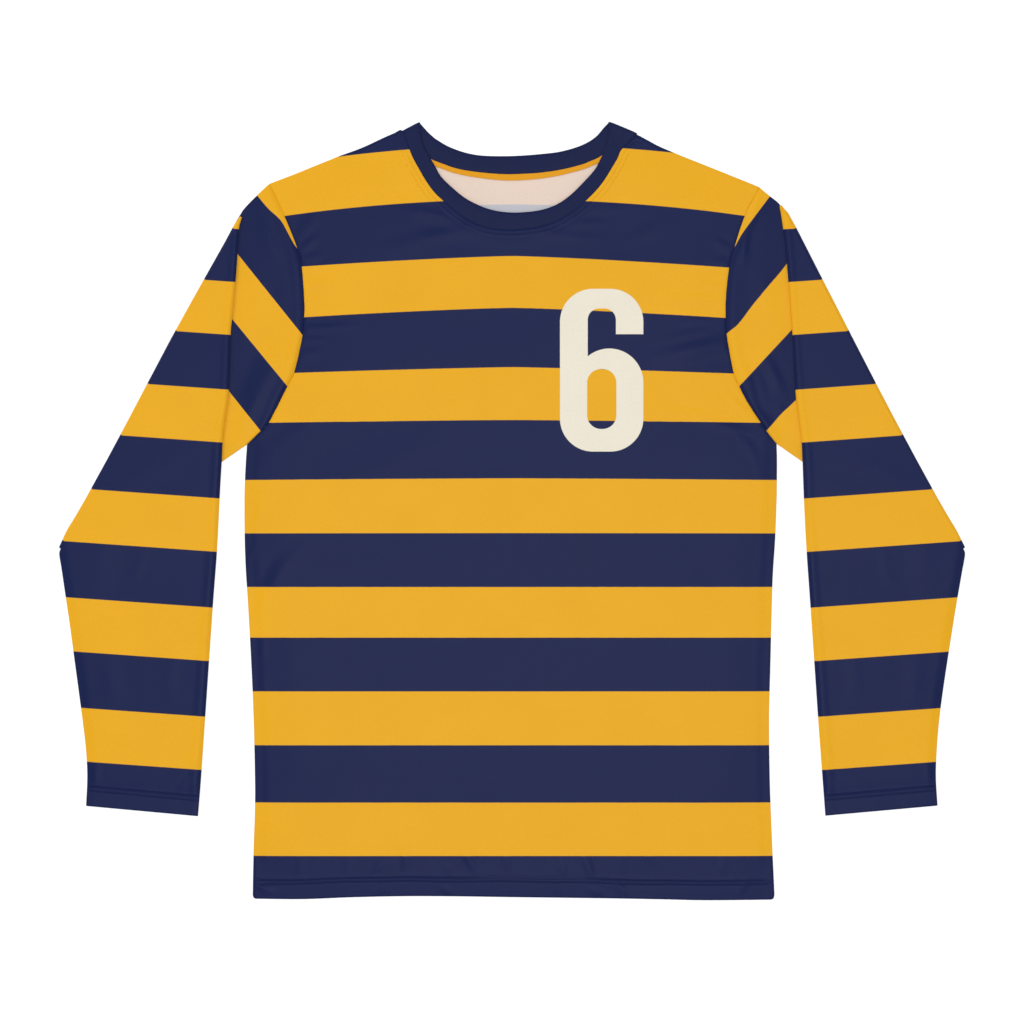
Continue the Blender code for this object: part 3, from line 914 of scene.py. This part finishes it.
class Sleeve:
    """The lay of one sleeve: its fold line, its edges, and the lines across it."""

    def __init__(self, side):
        self.side = side
        top, foot = (Vector((side * p.out, p.up)) for p in (FOLD_TOP[side], FOLD_FOOT[side]))
        self.corners = [FOLD_TOP[side], FOLD_FOOT[side]]
        self.slant = (foot - top).normalized()
        self.outward = Vector((self.slant.y, -self.slant.x)) * -side
        self.top, self.foot = top - self.outward * REACH, foot - self.outward * REACH
        start, end = (Point(abs(p.x), p.y) for p in (self.top, self.foot))
        self.inner = side_curve([start, *INNER_EDGE[side]], side)
        self.outer = side_curve([end, *OUTER_EDGE[side]], side)
        self.hole = armholes[side]

    def head_line(self, share):
        """A line across the upper arm, 0 at the armhole and 1 at the fold."""
        def at(across):
            point = self.hole.at(across).lerp(self.top.lerp(self.foot, across), share)
            swell = math.sin(math.pi * share)
            sag = UNDERARM_SAG * swell * across * across
            bulge = SHOULDER_BULGES[self.side]
            swollen = bulge.height * share ** bulge.power * math.sqrt(1.0 - share ** 8)
            swollen *= 1.0 - soft_step(across / TOP_SHARE)
            return point - Vector((0.0, sag)) + swollen * self.outward
        return at

    def forearm_line(self, inner_share, outer_share):
        start, end = self.inner.at(inner_share), self.outer.at(outer_share)
        return lambda across: start.lerp(end, across)

    def unfolded(self, point, turned):
        """The place of a point in the plane of the forearm, for the print and the knit."""
        if turned > math.pi / 2:
            return point
        return point - 2 * (point - self.top).dot(self.outward) * self.outward

    def inner_out(self, up):
        """How far out the forearm's inner edge lies at a height."""
        start = Point(abs(self.top.x), self.top.y)
        return out_at([start, *INNER_EDGE[self.side]], up)

    def wander(self, point):
        """The fold is not quite straight: how far it wanders sideways beside a point."""
        near = soft_step(1.0 + (point - self.top).dot(self.outward) / WANDER_REACH)
        near *= soft_step((abs(point.x) - self.inner_out(point.y)) / WANDER_START)
        high, low = self.corners[0].up, self.corners[1].up
        up = min(max(point.y, low), high)
        edge = [self.corners[0], *FOLD_EDGE[self.side], self.corners[1]]
        return near * (out_at(edge, up) - out_at(self.corners, up))


# %% [markdown]
# The lines are set closer where something happens: at the armhole seam, round the fold, where
# the forearm comes down from the upper arm to the table, and at the cuff's needle rows.

# %% Lines across a sleeve
FAR_FROM_HEM = 999.0
Line = namedtuple("Line", "at turned settled beyond hem", defaults=(0.0, 0.0, 1.0, FAR_FROM_HEM))
HEAD_LINES, ROLL_LINES, LYING_LINES = 46, 14, 60
HEAD_RIM = (0.002, 0.005, 0.010, 0.018)
LYING_INNER, LYING_OUTER = 0.414, 0.05
SETTLE_START, SETTLE_LENGTH = 2.0, 90.0
CUFF_EVEN = 45.0


def sleeve_lines(lay):
    """Lines of the upper arm, round the fold, on the upper arm, and down to the cuff."""
    rim = HEAD_RIM[-1]
    head = [0.0, *HEAD_RIM, *[rim + (1.0 - rim) * i / HEAD_LINES for i in range(1, HEAD_LINES)]]
    lines = [Line(lay.head_line(share), beyond=share) for share in head]
    fold = lay.forearm_line(0.0, 0.0)
    lines += [Line(fold, math.pi * step / ROLL_LINES) for step in range(ROLL_LINES + 1)]
    for step in range(1, LYING_LINES + 1):
        share = step / LYING_LINES
        lines.append(Line(lay.forearm_line(LYING_INNER * share, LYING_OUTER * share), math.pi))
    inner, outer = lay.inner.length, lay.outer.length
    rest, outer_rest = inner * (1.0 - LYING_INNER), outer * (1.0 - LYING_OUTER)
    for share in shares(rest, SLEEVE_CELL, (), CUFF_LINES)[1:]:
        place, hem = rest * share, rest * (1.0 - share)
        outer_place = (outer_rest - CUFF_EVEN) * place / (rest - CUFF_EVEN)
        if hem < CUFF_EVEN:
            outer_place = outer_rest - hem
        line = lay.forearm_line(LYING_INNER + place / inner, LYING_OUTER + outer_place / outer)
        settled = soft_step((place - SETTLE_START) / SETTLE_LENGTH)
        lines.append(Line(line, math.pi, settled, hem=hem))
    return lines


# %% [markdown]
# The forearm's print is straight across the sleeve. On the visible front of the upper arm the
# stripes have their own places, as on the real jersey, and the change from one to the other
# lies under the forearm, where nobody sees it.

# %% Stripes of the sleeves
SLEEVE_TILT = 0.0708
TILT_OUT = 350.0
FOREARM_BORDERS = [
    717.0, 664.8, 612.5, 560.3, 506.1, 453.9, 398.6, 346.0, 290.7, 238.0, 182.9, 130.4, 76.0,
]
FOREARM_PITCH = 54.0
HeadBorder = namedtuple("HeadBorder", "slanted tilt")
HEAD_BORDERS = {
    -1: table(
        HeadBorder, (-236.6, 0), (-185.4, 0), (-142.1, 0.02), (-94.4, 0),
    ),
    1: table(
        HeadBorder, (-233.8, -0.05), (-180.6, 0.02), (-139.4, 0.11), (-94.2, 0.13),
    ),
}
HEAD_PITCH = 48.0
HEAD_SLANT = (0.781, -0.625)
HEAD_MIDDLE = 240.0
LAYER_EDGE = 0.3
HIDDEN_PAST, HIDDEN_FADE = 3.0, 22.0
TURN_FADE = 1.2
PrintPull = namedtuple("PrintPull", "across up size pull")
PRINT_PULLS = {
    -1: table(
        PrintPull, (-228, 668, 12, -2.8), (-213, 642, 10, 1.9),
    ),
    1: table(
        PrintPull, (217, 640, 12, 2.5), (209, 556, 9, -2.0), (224, 569, 12, 0.9),
        (264, 616, 12, 0.5), (264, 477, 12, -0.9),
    ),
}


def forearm_stripe(place):
    level = place[1] + SLEEVE_TILT * (TILT_OUT - abs(place[0]))
    return stripe_number(FOREARM_BORDERS, level, FOREARM_PITCH)


def head_stripe(lay, place):
    """The stripes of the upper arm run on a slant, and the armhole seam pulls at them."""
    out = abs(place.x)
    slanted = HEAD_SLANT[0] * out + HEAD_SLANT[1] * place.y
    for pull in PRINT_PULLS[lay.side]:
        offset = Vector((place.x - pull.across, place.y - pull.up)).length / pull.size
        slanted -= pull.pull * math.exp(-offset * offset)
    levels = [-border.slanted - border.tilt * (out - HEAD_MIDDLE)
              for border in HEAD_BORDERS[lay.side]]
    return 1.0 + stripe_number(levels, -slanted, HEAD_PITCH)


def sleeve_stripe(lay, place, flat, turned, height):
    """The upper arm's own stripes on its visible front, else those of the forearm."""
    front_layer = soft_step((height - LAYER_EDGE) / (TUBE - 2 * LAYER_EDGE))
    hidden = soft_step((abs(place.x) - lay.inner_out(place.y) - HIDDEN_PAST) / HIDDEN_FADE)
    own = front_layer * (1.0 - hidden) * (1.0 - soft_step(turned / TURN_FADE))
    return own * head_stripe(lay, place) + (1.0 - own) * forearm_stripe(flat)


# %% [markdown]
# The cross section of a sleeve is a flattened ring: the lower layer, the round underarm edge,
# the upper layer and the round top fold. On top of the fold, the visible layer is puffed up a
# little and creased; the hidden layers stay flat.

# %% A sleeve's cross section
HEAD_PUFF = 0.8
FOREARM_PUFF = 1.1
SEAM_LIFT = 0.65
SEAM_END, SEAM_FADE = 6.0, 7.0
INNER_RISE, OUTER_RISE = 4.5, 10.0
FOREARM_FADE, EDGE_FADE = 8.0, 5.0
CUFF_SHARE = 0.2
CUFF_FLAT, CUFF_FADE = 16.0, 12.0
HEAD_RISE = 14.0
HEAD_SEAM_END, HEAD_SEAM_FADE = 7.0, 8.0
SHOWN_PAST, SHOWN_FADE = 2.0, 30.0
ARC_STEPS = 6
SLEEVE_CREASES = {
    -1: table(
        Crease, (-243, 509, 60, 34, 13, 1.9), (-232, 500, 63, 24, 3.6, 0.6),
        (-239, 649, -70, 24, 7, 0.8), (-261, 476, 56, 18, 5, 0.7), (-268, 560, 78, 26, 6, 0.4),
        (-223, 590, -80, 26, 7, 0.5), (-253, 604, -62, 30, 9, 0.4), (-270, 452, 50, 12, 4, 0.6),
        (-216, 540, 70, 12, 3.6, 0.5),
    ),
    1: table(
        Crease, (228, 642, 88, 20, 3.8, 0.9), (235, 673, 72, 12, 4, 0.5),
        (233, 507, -72, 22, 4.6, 1.1), (243, 507, -74, 20, 3.8, 0.7),
        (259, 513, -62, 19, 5, 1.1), (253, 590, -66, 30, 9, 0.4), (265, 560, -82, 20, 6, 0.5),
        (251, 468, -50, 14, 4.5, 0.7), (268, 476, -58, 12, 4, 0.5), (223, 590, 86, 24, 6, 0.4),
    ),
}
FOREARM_CREASES = table(
    Crease, (406, 329, 100, 30, 12, 0.5), (317, 135, 140, 22, 4.5, 0.6),
    (337, 221, 96, 20, 7, 0.35), (396, 216, 84, 24, 9, 0.4), (367, 329, 106, 16, 5, 0.3),
    (411, 122, 108, 8, 4, 0.4), (322, 112, 130, 10, 4, 0.5), (357, 422, 156, 40, 12, 0.35),
    (376, 275, 174, 50, 12, 0.3), (386, 161, 192, 36, 9, 0.3), (357, 95, 92, 6, 3.2, 0.3),
    (388, 96, 96, 6, 3.2, 0.3), (335, 92, 86, 6, 3.2, 0.25),
)


def tube_ring(width, radius, cells):
    """Places round the ring as (distance across, height), starting on the lower layer."""
    straight = [MIDDLE + (width - 2 * MIDDLE) * share for share in cells]
    arc = [math.pi * (i / ARC_STEPS - 0.5) for i in range(1, ARC_STEPS)]
    ring = [(place, MIDDLE - radius) for place in straight]
    ring += [(width - MIDDLE + radius * math.cos(a), MIDDLE + radius * math.sin(a)) for a in arc]
    ring += [(place, MIDDLE + radius) for place in reversed(straight)]
    ring += [(MIDDLE - radius * math.cos(a), MIDDLE + radius * math.sin(a)) for a in reversed(arc)]
    return ring


def forearm_puff(across, width):
    """The forearm rises softly from both edges. The seam allowance lifts the inner one."""
    inner = soft_step(across / INNER_RISE)
    strip = SEAM_LIFT * (inner - soft_step((across - SEAM_END) / SEAM_FADE))
    return strip + FOREARM_PUFF * inner * soft_step((width - across) / OUTER_RISE)


def sleeve_relief(lay, place, line, across, width, on_top):
    """How far the visible layer rises above the flat lay."""
    if on_top <= 0.0:
        return 0.0
    from_edge = min(across, width - across)
    if line.turned > 3.0:
        mirrored = Vector((abs(place.x), place.y))
        rise = forearm_puff(across, width)
        rise += soft_step(from_edge / FOREARM_FADE) * crease_height(FOREARM_CREASES, mirrored)
        rise *= soft_step((line.hem - CUFF_FLAT) / CUFF_FADE) * (1.0 - CUFF_SHARE) + CUFF_SHARE
        rise += CUFF_STEP * soft_step((CUFF_DEPTH - line.hem) / STEP_FADE)
        for row, depth in zip(CUFF_NEEDLES, CUFF_GROOVES):
            rise -= groove(line.hem - row, HEM_GROOVE_WIDTH, depth)
        return (rise - rolled(line.hem, *CUFF_ROLL)) * on_top
    share = min(max(across / width, 0.0), 1.0)
    reach = (lay.hole.at(share) - lay.top.lerp(lay.foot, share)).length
    from_seam = line.beyond * reach
    shown = soft_step((lay.inner_out(place.y) + SHOWN_PAST - abs(place.x)) / SHOWN_FADE)
    rise = HEAD_PUFF * soft_step(from_edge / HEAD_RISE)
    rise += SEAM_LIFT * (1.0 - soft_step((from_seam - HEAD_SEAM_END) / HEAD_SEAM_FADE))
    rise += soft_step(from_edge / EDGE_FADE) * crease_height(SLEEVE_CREASES[lay.side], place)
    rise *= shown * soft_step(from_seam / EDGE_FADE)
    return (rise - rolled(from_seam, *HEAD_ROLL)) * on_top


# %% [markdown]
# Both skins of the wall are grids whose long edges are merged into a tube. The two tubes are
# then bridged at the armhole and at the cuff, which closes the wall.

# %% Sleeves
RING_CELLS = 54
RING_RIM = (0.0, 0.008, 0.02, 0.04)
CHORDS = 8
AT_HOLE, ELBOW = 6.0, 400.0


def ring_cells(count):
    """Places across a flat sleeve as shares, closer together at both edges."""
    rim = RING_RIM[-1]
    middle = [rim + (1.0 - 2.0 * rim) * i / count for i in range(1, count)]
    return [*RING_RIM, *middle, *[1.0 - share for share in reversed(RING_RIM)]]


def sleeve_place(lay, line, width, across, height):
    """One point of a ring: its place in the print, its stripe number and its place in space."""
    point = line.at(min(max(across / width, 0.0), 1.0))
    flat = lay.unfolded(point, line.turned)
    stripe = sleeve_stripe(lay, point, flat, line.turned, height)
    point = point + Vector((lay.side * lay.wander(point), 0.0))
    visible = height / TUBE if line.turned < 1.0 else 1.0 - height / TUBE
    on_top = soft_step((visible - 0.5) * 2.5) if line.turned in (0.0, math.pi) else 0.0
    rise = sleeve_relief(lay, point, line, across, width, on_top)
    lever = REACH - height
    point = point + lay.outward * lever * math.sin(line.turned)
    up = REACH - lever * math.cos(line.turned) - line.settled * 2 * (REACH - MIDDLE)
    return flat, stripe, (point.x, point.y, up + rise)


def close_wall(mesh, hole):
    """Bridges the outer and the inner skin at the armhole and at the cuff."""
    near = distance_to([hole])
    rims = [edge for edge in mesh.edges if edge.is_boundary]
    ends = [edge.verts[0].co for edge in rims]
    at_hole = [near(end) < AT_HOLE and end.y > ELBOW for end in ends]
    for wanted in (True, False):
        bmesh.ops.bridge_loops(mesh, edges=[e for e, at in zip(rims, at_hole) if at == wanted])


def make_sleeve(name, side):
    lay = Sleeve(side)
    lines = sleeve_lines(lay)
    widths = [Thread([line.at(i / CHORDS) for i in range(CHORDS + 1)]).length for line in lines]
    cells = ring_cells(RING_CELLS)
    mesh = bmesh.new()
    prints, skin_ends = {}, []
    for radius in (MIDDLE, GAP / 2):
        rings = grid_rows(mesh, len(tube_ring(widths[0], radius, cells)), len(lines) - 1)
        for line, width, ring in zip(lines, widths, rings):
            places = tube_ring(width, radius, cells)
            for vert, (across, height) in zip(ring, places + places[:1]):
                flat, stripe, vert.co = sleeve_place(lay, line, width, across, height)
                prints[vert.index] = (flat, stripe)
        skin_ends.append(len(mesh.verts))
    write_print(mesh, lambda v: prints[v.index][0], lambda v: prints[v.index][1])
    for face in mesh.faces:
        face.material_index = 1 if face.verts[0].index >= skin_ends[0] else 0
    bmesh.ops.remove_doubles(mesh, verts=mesh.verts, dist=0.001)
    close_wall(mesh, lay.hole)
    bmesh.ops.recalc_face_normals(mesh, faces=mesh.faces)
    return finish_piece(name, mesh, [sleeve_knit, inside_print]), lay


sleeve_left, lay_left = make_sleeve("sleeve_left_cloth", -1)
sleeve_right, lay_right = make_sleeve("sleeve_right_cloth", 1)

# %% [markdown]
# The neck band is one strip, folded double and closed into a ring. Lying flat, the ring shows
# its outside along the front, turns over at both shoulder tips, and shows its inside along the
# back. The grid runs once round the ring and once round the strip's flat oval section.

# %% Neck band
BAND = 1.6
BAND_LOW = BAND / 2 + 0.02
BAND_HIGH = BAND_LOW + BAND + 2 * GAP
FRONT_STEPS, BACK_STEPS, TURN_STEPS = 110, 90, 8
SECTION = 26
BAND_WIDTH = 17.0
BAND_SHARE = 0.995
END_LIFT = {-1: -0.7, 1: 0.9}


def band_stations():
    """Round the ring: seam point, free edge, height, and the direction that faces out."""
    up = Vector((0.0, 0.0, 1.0))
    front = list(zip(neck_curve(FRONT_NECK_SEAM).even(FRONT_STEPS),
                     neck_curve(FRONT_NECK_EDGE).even(FRONT_STEPS)))
    back = list(zip(neck_curve(BACK_NECK_SEAM).even(BACK_STEPS),
                    neck_curve(BACK_NECK_EDGE).even(BACK_STEPS)))
    radius = (BAND_HIGH - BAND_LOW) / 2
    stations = [(seam, edge, BAND_HIGH, up) for seam, edge in front]
    for (seam, edge), sign in ((front[-1], 1), (front[0], -1)):
        slant = (edge - seam).normalized()
        outward = Vector((-slant.y, slant.x)) * -sign
        turns = [math.pi * i / TURN_STEPS for i in range(1, TURN_STEPS)]
        if sign < 0:
            stations += [(seam_b, edge_b, BAND_LOW, -up) for seam_b, edge_b in reversed(back)]
            turns.reverse()
        for turn in turns:
            shift = outward * radius * math.sin(turn)
            facing = outward.to_3d() * math.sin(turn) + up * math.cos(turn)
            height = BAND_LOW + radius + radius * math.cos(turn)
            tucked = outward * END_LIFT[sign] * math.sin(turn)
            stations.append((seam + tucked, edge + shift, height, facing))
    return stations


def band_section(share):
    """The flat oval of the folded strip: across from -0.5 at the seam to 0.5, and height."""
    angle = 2 * math.pi * share
    across, height = math.cos(angle), math.sin(angle)
    full = abs(across) ** 6
    return math.copysign(abs(across) ** 0.45, across) * 0.5, height * (1 - 0.15 * full) ** 0.5


def make_band():
    stations = band_stations()
    ring = stations + stations[:1]
    middles = [seam.lerp(edge, 0.5) for seam, edge, *_ in ring]
    mesh = bmesh.new()
    places, travelled, last = {}, 0.0, middles[0]
    columns = zip(*grid_rows(mesh, len(stations), SECTION))
    for (seam, edge, height, facing), middle, column in zip(ring, middles, columns):
        travelled += (middle - last).length
        last = middle
        centre = middle.to_3d() + Vector((0.0, 0.0, height))
        half = (edge - seam).to_3d() * BAND_SHARE
        for j, vert in enumerate(column):
            across, rise = band_section(j / SECTION)
            places[vert.index] = (travelled, across * BAND_WIDTH)
            vert.co = centre + half * across + facing * rise * BAND / 2
    write_print(mesh, lambda v: places[v.index], lambda v: 0.0)
    bmesh.ops.remove_doubles(mesh, verts=mesh.verts, dist=0.001)
    bmesh.ops.recalc_face_normals(mesh, faces=mesh.faces)
    return finish_piece("neck_band_rib", mesh, [band_knit])


band = make_band()

# %% [markdown]
# Under the band, on the inside of the back, a narrow strip of yellow seam cloth shows. Its
# lower edge is overlocked, so it is slightly scalloped.

# %% Back neck strip
TAPE = 0.6
TAPE_WIDTH = 6.3
TAPE_TAPER = 1.3
TAPE_REACH = 0.72
TAPE_COLUMNS = 240
TAPE_ROWS = (0.0, 0.06, 0.16, 0.35, 0.6, 0.8, 0.9, 0.96, 1.0)
TAPE_ROLL = (0.7, 0.4)
SCALLOP = 2.2
SCALLOP_HEIGHT = 0.02


def make_tape():
    seam = Thread(moved_in(neck_curve(BACK_NECK_SEAM).points, -GAP))
    lower = Thread(moved_in(seam.points, TAPE_WIDTH))
    first = (1 - TAPE_REACH) / 2
    columns = [first + TAPE_REACH * i / TAPE_COLUMNS for i in range(TAPE_COLUMNS + 1)]

    def place(u, v):
        wave = SCALLOP_HEIGHT * math.sin(2 * math.pi * u * seam.length / SCALLOP) * v * v
        wide = 1 - TAPE_TAPER / TAPE_WIDTH * soft_step(abs(2 * u - 1) / 0.5)
        point = seam.at(u).lerp(lower.at(u), v * wide * (1 + wave))
        top = CLOTH + GAP + TAPE - rolled(min(v, 1 - v) * TAPE_WIDTH, *TAPE_ROLL)
        return Vector((point.x, point.y, top + wave))

    mesh = laid_grid(columns, TAPE_ROWS, place)
    thickened(mesh, lambda co: CLOTH + GAP)
    write_print(mesh, lambda v: v.co, lambda v: 1.5)
    return finish_piece("neck_tape_cloth", mesh, [seam_knit, seam_knit])


tape = make_tape()

# %% [markdown]
# Twin needle rows: short straight stitches, end to end, on the outside of the hem, the cuffs
# and the neck. One stitch is a small box, bevelled and sunk at both ends. It is copied along a
# row, turned with it and laid on the cloth, and all copies of a place become one mesh.

# %% One stitch
STITCH = 2.9
STITCH_GAP = 0.5
THREAD = 0.42
STITCH_SINK = 0.22
STITCH_POINT = 0.6


def lengthwise(mesh):
    return [e for e in mesh.edges if abs(e.verts[0].co.x - e.verts[1].co.x) > 0.5]


def one_stitch():
    mesh = bmesh.new()
    bmesh.ops.create_cube(mesh, size=1.0)
    bmesh.ops.scale(mesh, vec=(STITCH, THREAD, THREAD), verts=mesh.verts)
    bmesh.ops.subdivide_edges(mesh, edges=lengthwise(mesh), cuts=2)
    for vert in mesh.verts:
        if abs(vert.co.x) > 0.45 * STITCH:
            vert.co.z -= STITCH_SINK
            vert.co.y *= STITCH_POINT
    bmesh.ops.bevel(mesh, geom=lengthwise(mesh), offset=0.12, segments=1, affect="EDGES",
                    profile=0.5, material=-1)
    data = bpy.data.meshes.new("stitch")
    mesh.to_mesh(data)
    mesh.free()
    return data


stitch_shape = one_stitch()
print("faces in one stitch:", len(stitch_shape.polygons))

# %% [markdown]
# A row takes as many stitches as its length holds, with a short gap between two of them. Each
# one points along the row and takes the height of the cloth under its middle, so the row rises
# and sinks with the cloth.

# %% A row of stitches
def sew(mesh, thread, height, side_up=1.0):
    """Adds stitches along a thread: height(point) is the cloth's surface there."""
    count = max(1, int(thread.length / (STITCH + STITCH_GAP)))
    for i in range(count):
        middle = thread.at((i + 0.5) / count)
        ahead = (thread.at((i + 0.9) / count) - thread.at((i + 0.1) / count)).normalized()
        aside = Vector((-ahead.y, ahead.x))
        level = height(middle)
        start = len(mesh.verts)
        mesh.from_mesh(stitch_shape)
        mesh.verts.ensure_lookup_table()
        for vert in mesh.verts[start:]:
            x, y, z = vert.co
            point = middle + ahead * x + aside * y
            vert.co = (point.x, point.y, level + side_up * z)


def finish_thread(name, mesh, material):
    bmesh.ops.recalc_face_normals(mesh, faces=mesh.faces)
    write_print(mesh, lambda v: v.co, lambda v: 0.0)
    return finish_piece(name, mesh, [material])


# %% [markdown]
# Sewing thread is smooth and slightly shiny, in the colour of the cloth that it crosses: navy
# at the hem and the cuffs, and beside the neck navy or yellow, stripe by stripe.

# %% Threads
TWIST_RELIEF = 0.0001


def thread_material(name, colour):
    nodes = Nodes(name)
    place = nodes.cloth_place()
    twist = nodes.math("SINE", nodes.math("MULTIPLY", nodes.noise(place, 900.0, 1.0), 40.0))
    tone = nodes.math("MULTIPLY_ADD", nodes.noise(place, 600.0, 2.0), 0.16, 0.92)
    return nodes.finish({
        "Base Color": nodes.shaded(colour, tone),
        "Normal": nodes.bump(twist, 0.25, TWIST_RELIEF),
        "Roughness": 0.5, "Specular IOR Level": 0.15,
    })


navy_thread = thread_material("navy_thread", linear(12, 20, 52))
yellow_thread = thread_material("yellow_thread", linear(222, 156, 26))

# %% [markdown]
# A twin needle sews two rows at once, which keeps a hem stretchy. The rows wander just as the
# grooves in the cloth do, so every stitch of the front lies in its groove.

# %% Hem rows, front and back
THREAD_RISE = 0.16
BACK_THREAD = 0.30


def hem_stitches(name, edges, height, side_up):
    mesh = bmesh.new()
    for row in HEM_NEEDLES:
        line = [p + Vector((0.0, row + row_wander(p.x))) for p in edges["hem"].points[2:-2]]
        sew(mesh, Thread(line), height, side_up)
    return finish_thread(name, mesh, navy_thread)


hem_front = hem_stitches("hem_stitches_front", front_edges,
                         lambda p: front_height(p) + THREAD_RISE, 1.0)
hem_back = hem_stitches("hem_stitches_back", back_edges, lambda p: BACK_THREAD, -1.0)

# %% [markdown]
# The rows beside the neck run from shoulder to shoulder over stripes of both colours. Two
# meshes, one for each thread, are simpler than one mesh with a colour for every stitch.

# %% Neck rows
NECK_THREAD_RISE = 0.14
CUTS = 400


def neck_stitches():
    """Cuts each row where it crosses a stripe's border and sews each run in its colour."""
    navy, yellow = bmesh.new(), bmesh.new()
    for row in NECK_NEEDLES:
        points = Thread(moved_in(front_edges["neck"].points, row)).even(CUTS)
        on_yellow = [int(body_stripe(*point)) % 2 for point in points]
        start = 0
        for i in range(1, CUTS + 1):
            if on_yellow[i] != on_yellow[start] or i == CUTS:
                sew(yellow if on_yellow[start] else navy, Thread(points[start:i + 1]),
                    lambda p: front_height(p) + NECK_THREAD_RISE)
                start = i
    return [finish_thread("neck_stitches_navy", navy, navy_thread),
            finish_thread("neck_stitches_yellow", yellow, yellow_thread)]


neck_rows = neck_stitches()

# %% [markdown]
# A cuff is a flat tube, so its rows run straight across it twice: over the top, in the grooves,
# and over the side that lies on the table. They end a little before the folded edges.

# %% Cuff rows
CUFF_TOP = TUBE + FOREARM_PUFF * CUFF_SHARE + CUFF_STEP + THREAD_RISE
CUFF_INSET = 3.0


def cuff_stitches(name, lay):
    mesh = bmesh.new()
    for row, depth in zip(CUFF_NEEDLES, CUFF_GROOVES):
        inner = lay.inner.at(1 - row / lay.inner.length)
        outer = lay.outer.at(1 - row / lay.outer.length)
        inset = (outer - inner).normalized() * CUFF_INSET
        across = Thread([inner + inset, outer - inset])
        sew(mesh, across, lambda p: CUFF_TOP - depth)
        sew(mesh, across, lambda p: THREAD_RISE, -1.0)
    return finish_thread(name, mesh, navy_thread)


cuff_left = cuff_stitches("cuff_stitches_left", lay_left)
cuff_right = cuff_stitches("cuff_stitches_right", lay_right)

# %% [markdown]
# Every piece rides on the one body, and the imported node that it stands for is hidden. How much
# cloth each panel holds is worked out from its own shape, so from the same measures as the
# shapes, and printed.

# %% Fix the pieces to the frame
for piece, node, slot in (
    (front, "front_panel", "body_knit"), (back, "back_panel", "body_knit"),
    (sleeve_left, "sleeve_left", "sleeve_knit"), (sleeve_right, "sleeve_right", "sleeve_knit"),
    (band, "neck_band", "neck_rib"), (tape, "neck_tape", "neck_tape"),
):
    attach(piece, "root")
    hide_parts(node)
for piece in (hem_front, hem_back, neck_rows[0], cuff_left, cuff_right):
    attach(piece, "root")
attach(neck_rows[1], "root")


def flat_area(piece):
    """Half the surface of a thin closed piece, in square metres."""
    return round(sum(face.area for face in piece.data.polygons) / 2, 4)


for piece in (front, back, sleeve_left, sleeve_right):
    print(piece.name, "cloth, square metres:", flat_area(piece))

flat_area(tape)

# %% [markdown]
# The floor is a plain pale sheet, and the surround is an even white, so the print keeps its
# colours everywhere. A soft lamp near the camera's line makes the flat cloth shine a little: a
# crease or a groove tips that shine away and shows as a darker line. A weak lamp from the upper
# left models the edges.

# %% Floor, light and camera
floor_mesh = bmesh.new()
bmesh.ops.create_grid(floor_mesh, x_segments=1, y_segments=1, size=4.0)
bmesh.ops.translate(floor_mesh, vec=(0.0, 0.0, -0.0004), verts=floor_mesh.verts)
floor_data = bpy.data.meshes.new("floor")
floor_mesh.to_mesh(floor_data)
floor_mesh.free()
floor_data.materials.append(Nodes("pale_floor").finish({
    "Base Color": (0.45, 0.45, 0.45, 1.0), "Roughness": 0.9, "Specular IOR Level": 0.1,
    "Emission Color": (1.0, 1.0, 1.0, 1.0), "Emission Strength": 0.7,
}))
floor = add_object("floor", floor_data)


def soft_lamp(name, place, size, power):
    light = bpy.data.lights.new(name, "AREA")
    light.shape = "DISK"
    light.size = size
    light.energy = power
    lamp = add_object(name, light)
    lamp.location = place
    lamp.rotation_euler = (-Vector(place)).to_track_quat("-Z", "Y").to_euler()


soft_lamp("overhead", (0.12, -0.3, 4.2), 1.2, 52.0)
soft_lamp("crease_light", (-2.9, 2.5, 2.6), 1.0, 36.0)
world = bpy.data.worlds.new("studio")
world.use_nodes = True
world.node_tree.nodes["Background"].inputs[0].default_value = (1.0, 1.0, 1.0, 1.0)
world.node_tree.nodes["Background"].inputs[1].default_value = 0.62
bpy.context.scene.world = world
bpy.context.scene.view_settings.view_transform = "Standard"

VIEW_WIDTH = 1024 * 0.000985
VIEW_CENTRE = (-0.0005, -0.0005)
LENS, SENSOR = 100.0, 36.0
camera_data = bpy.data.cameras.new("camera")
camera_data.lens = LENS
camera_data.sensor_width = SENSOR
camera = add_object("camera", camera_data)
camera.location = (*VIEW_CENTRE, VIEW_WIDTH * LENS / SENSOR)
bpy.context.scene.camera = camera
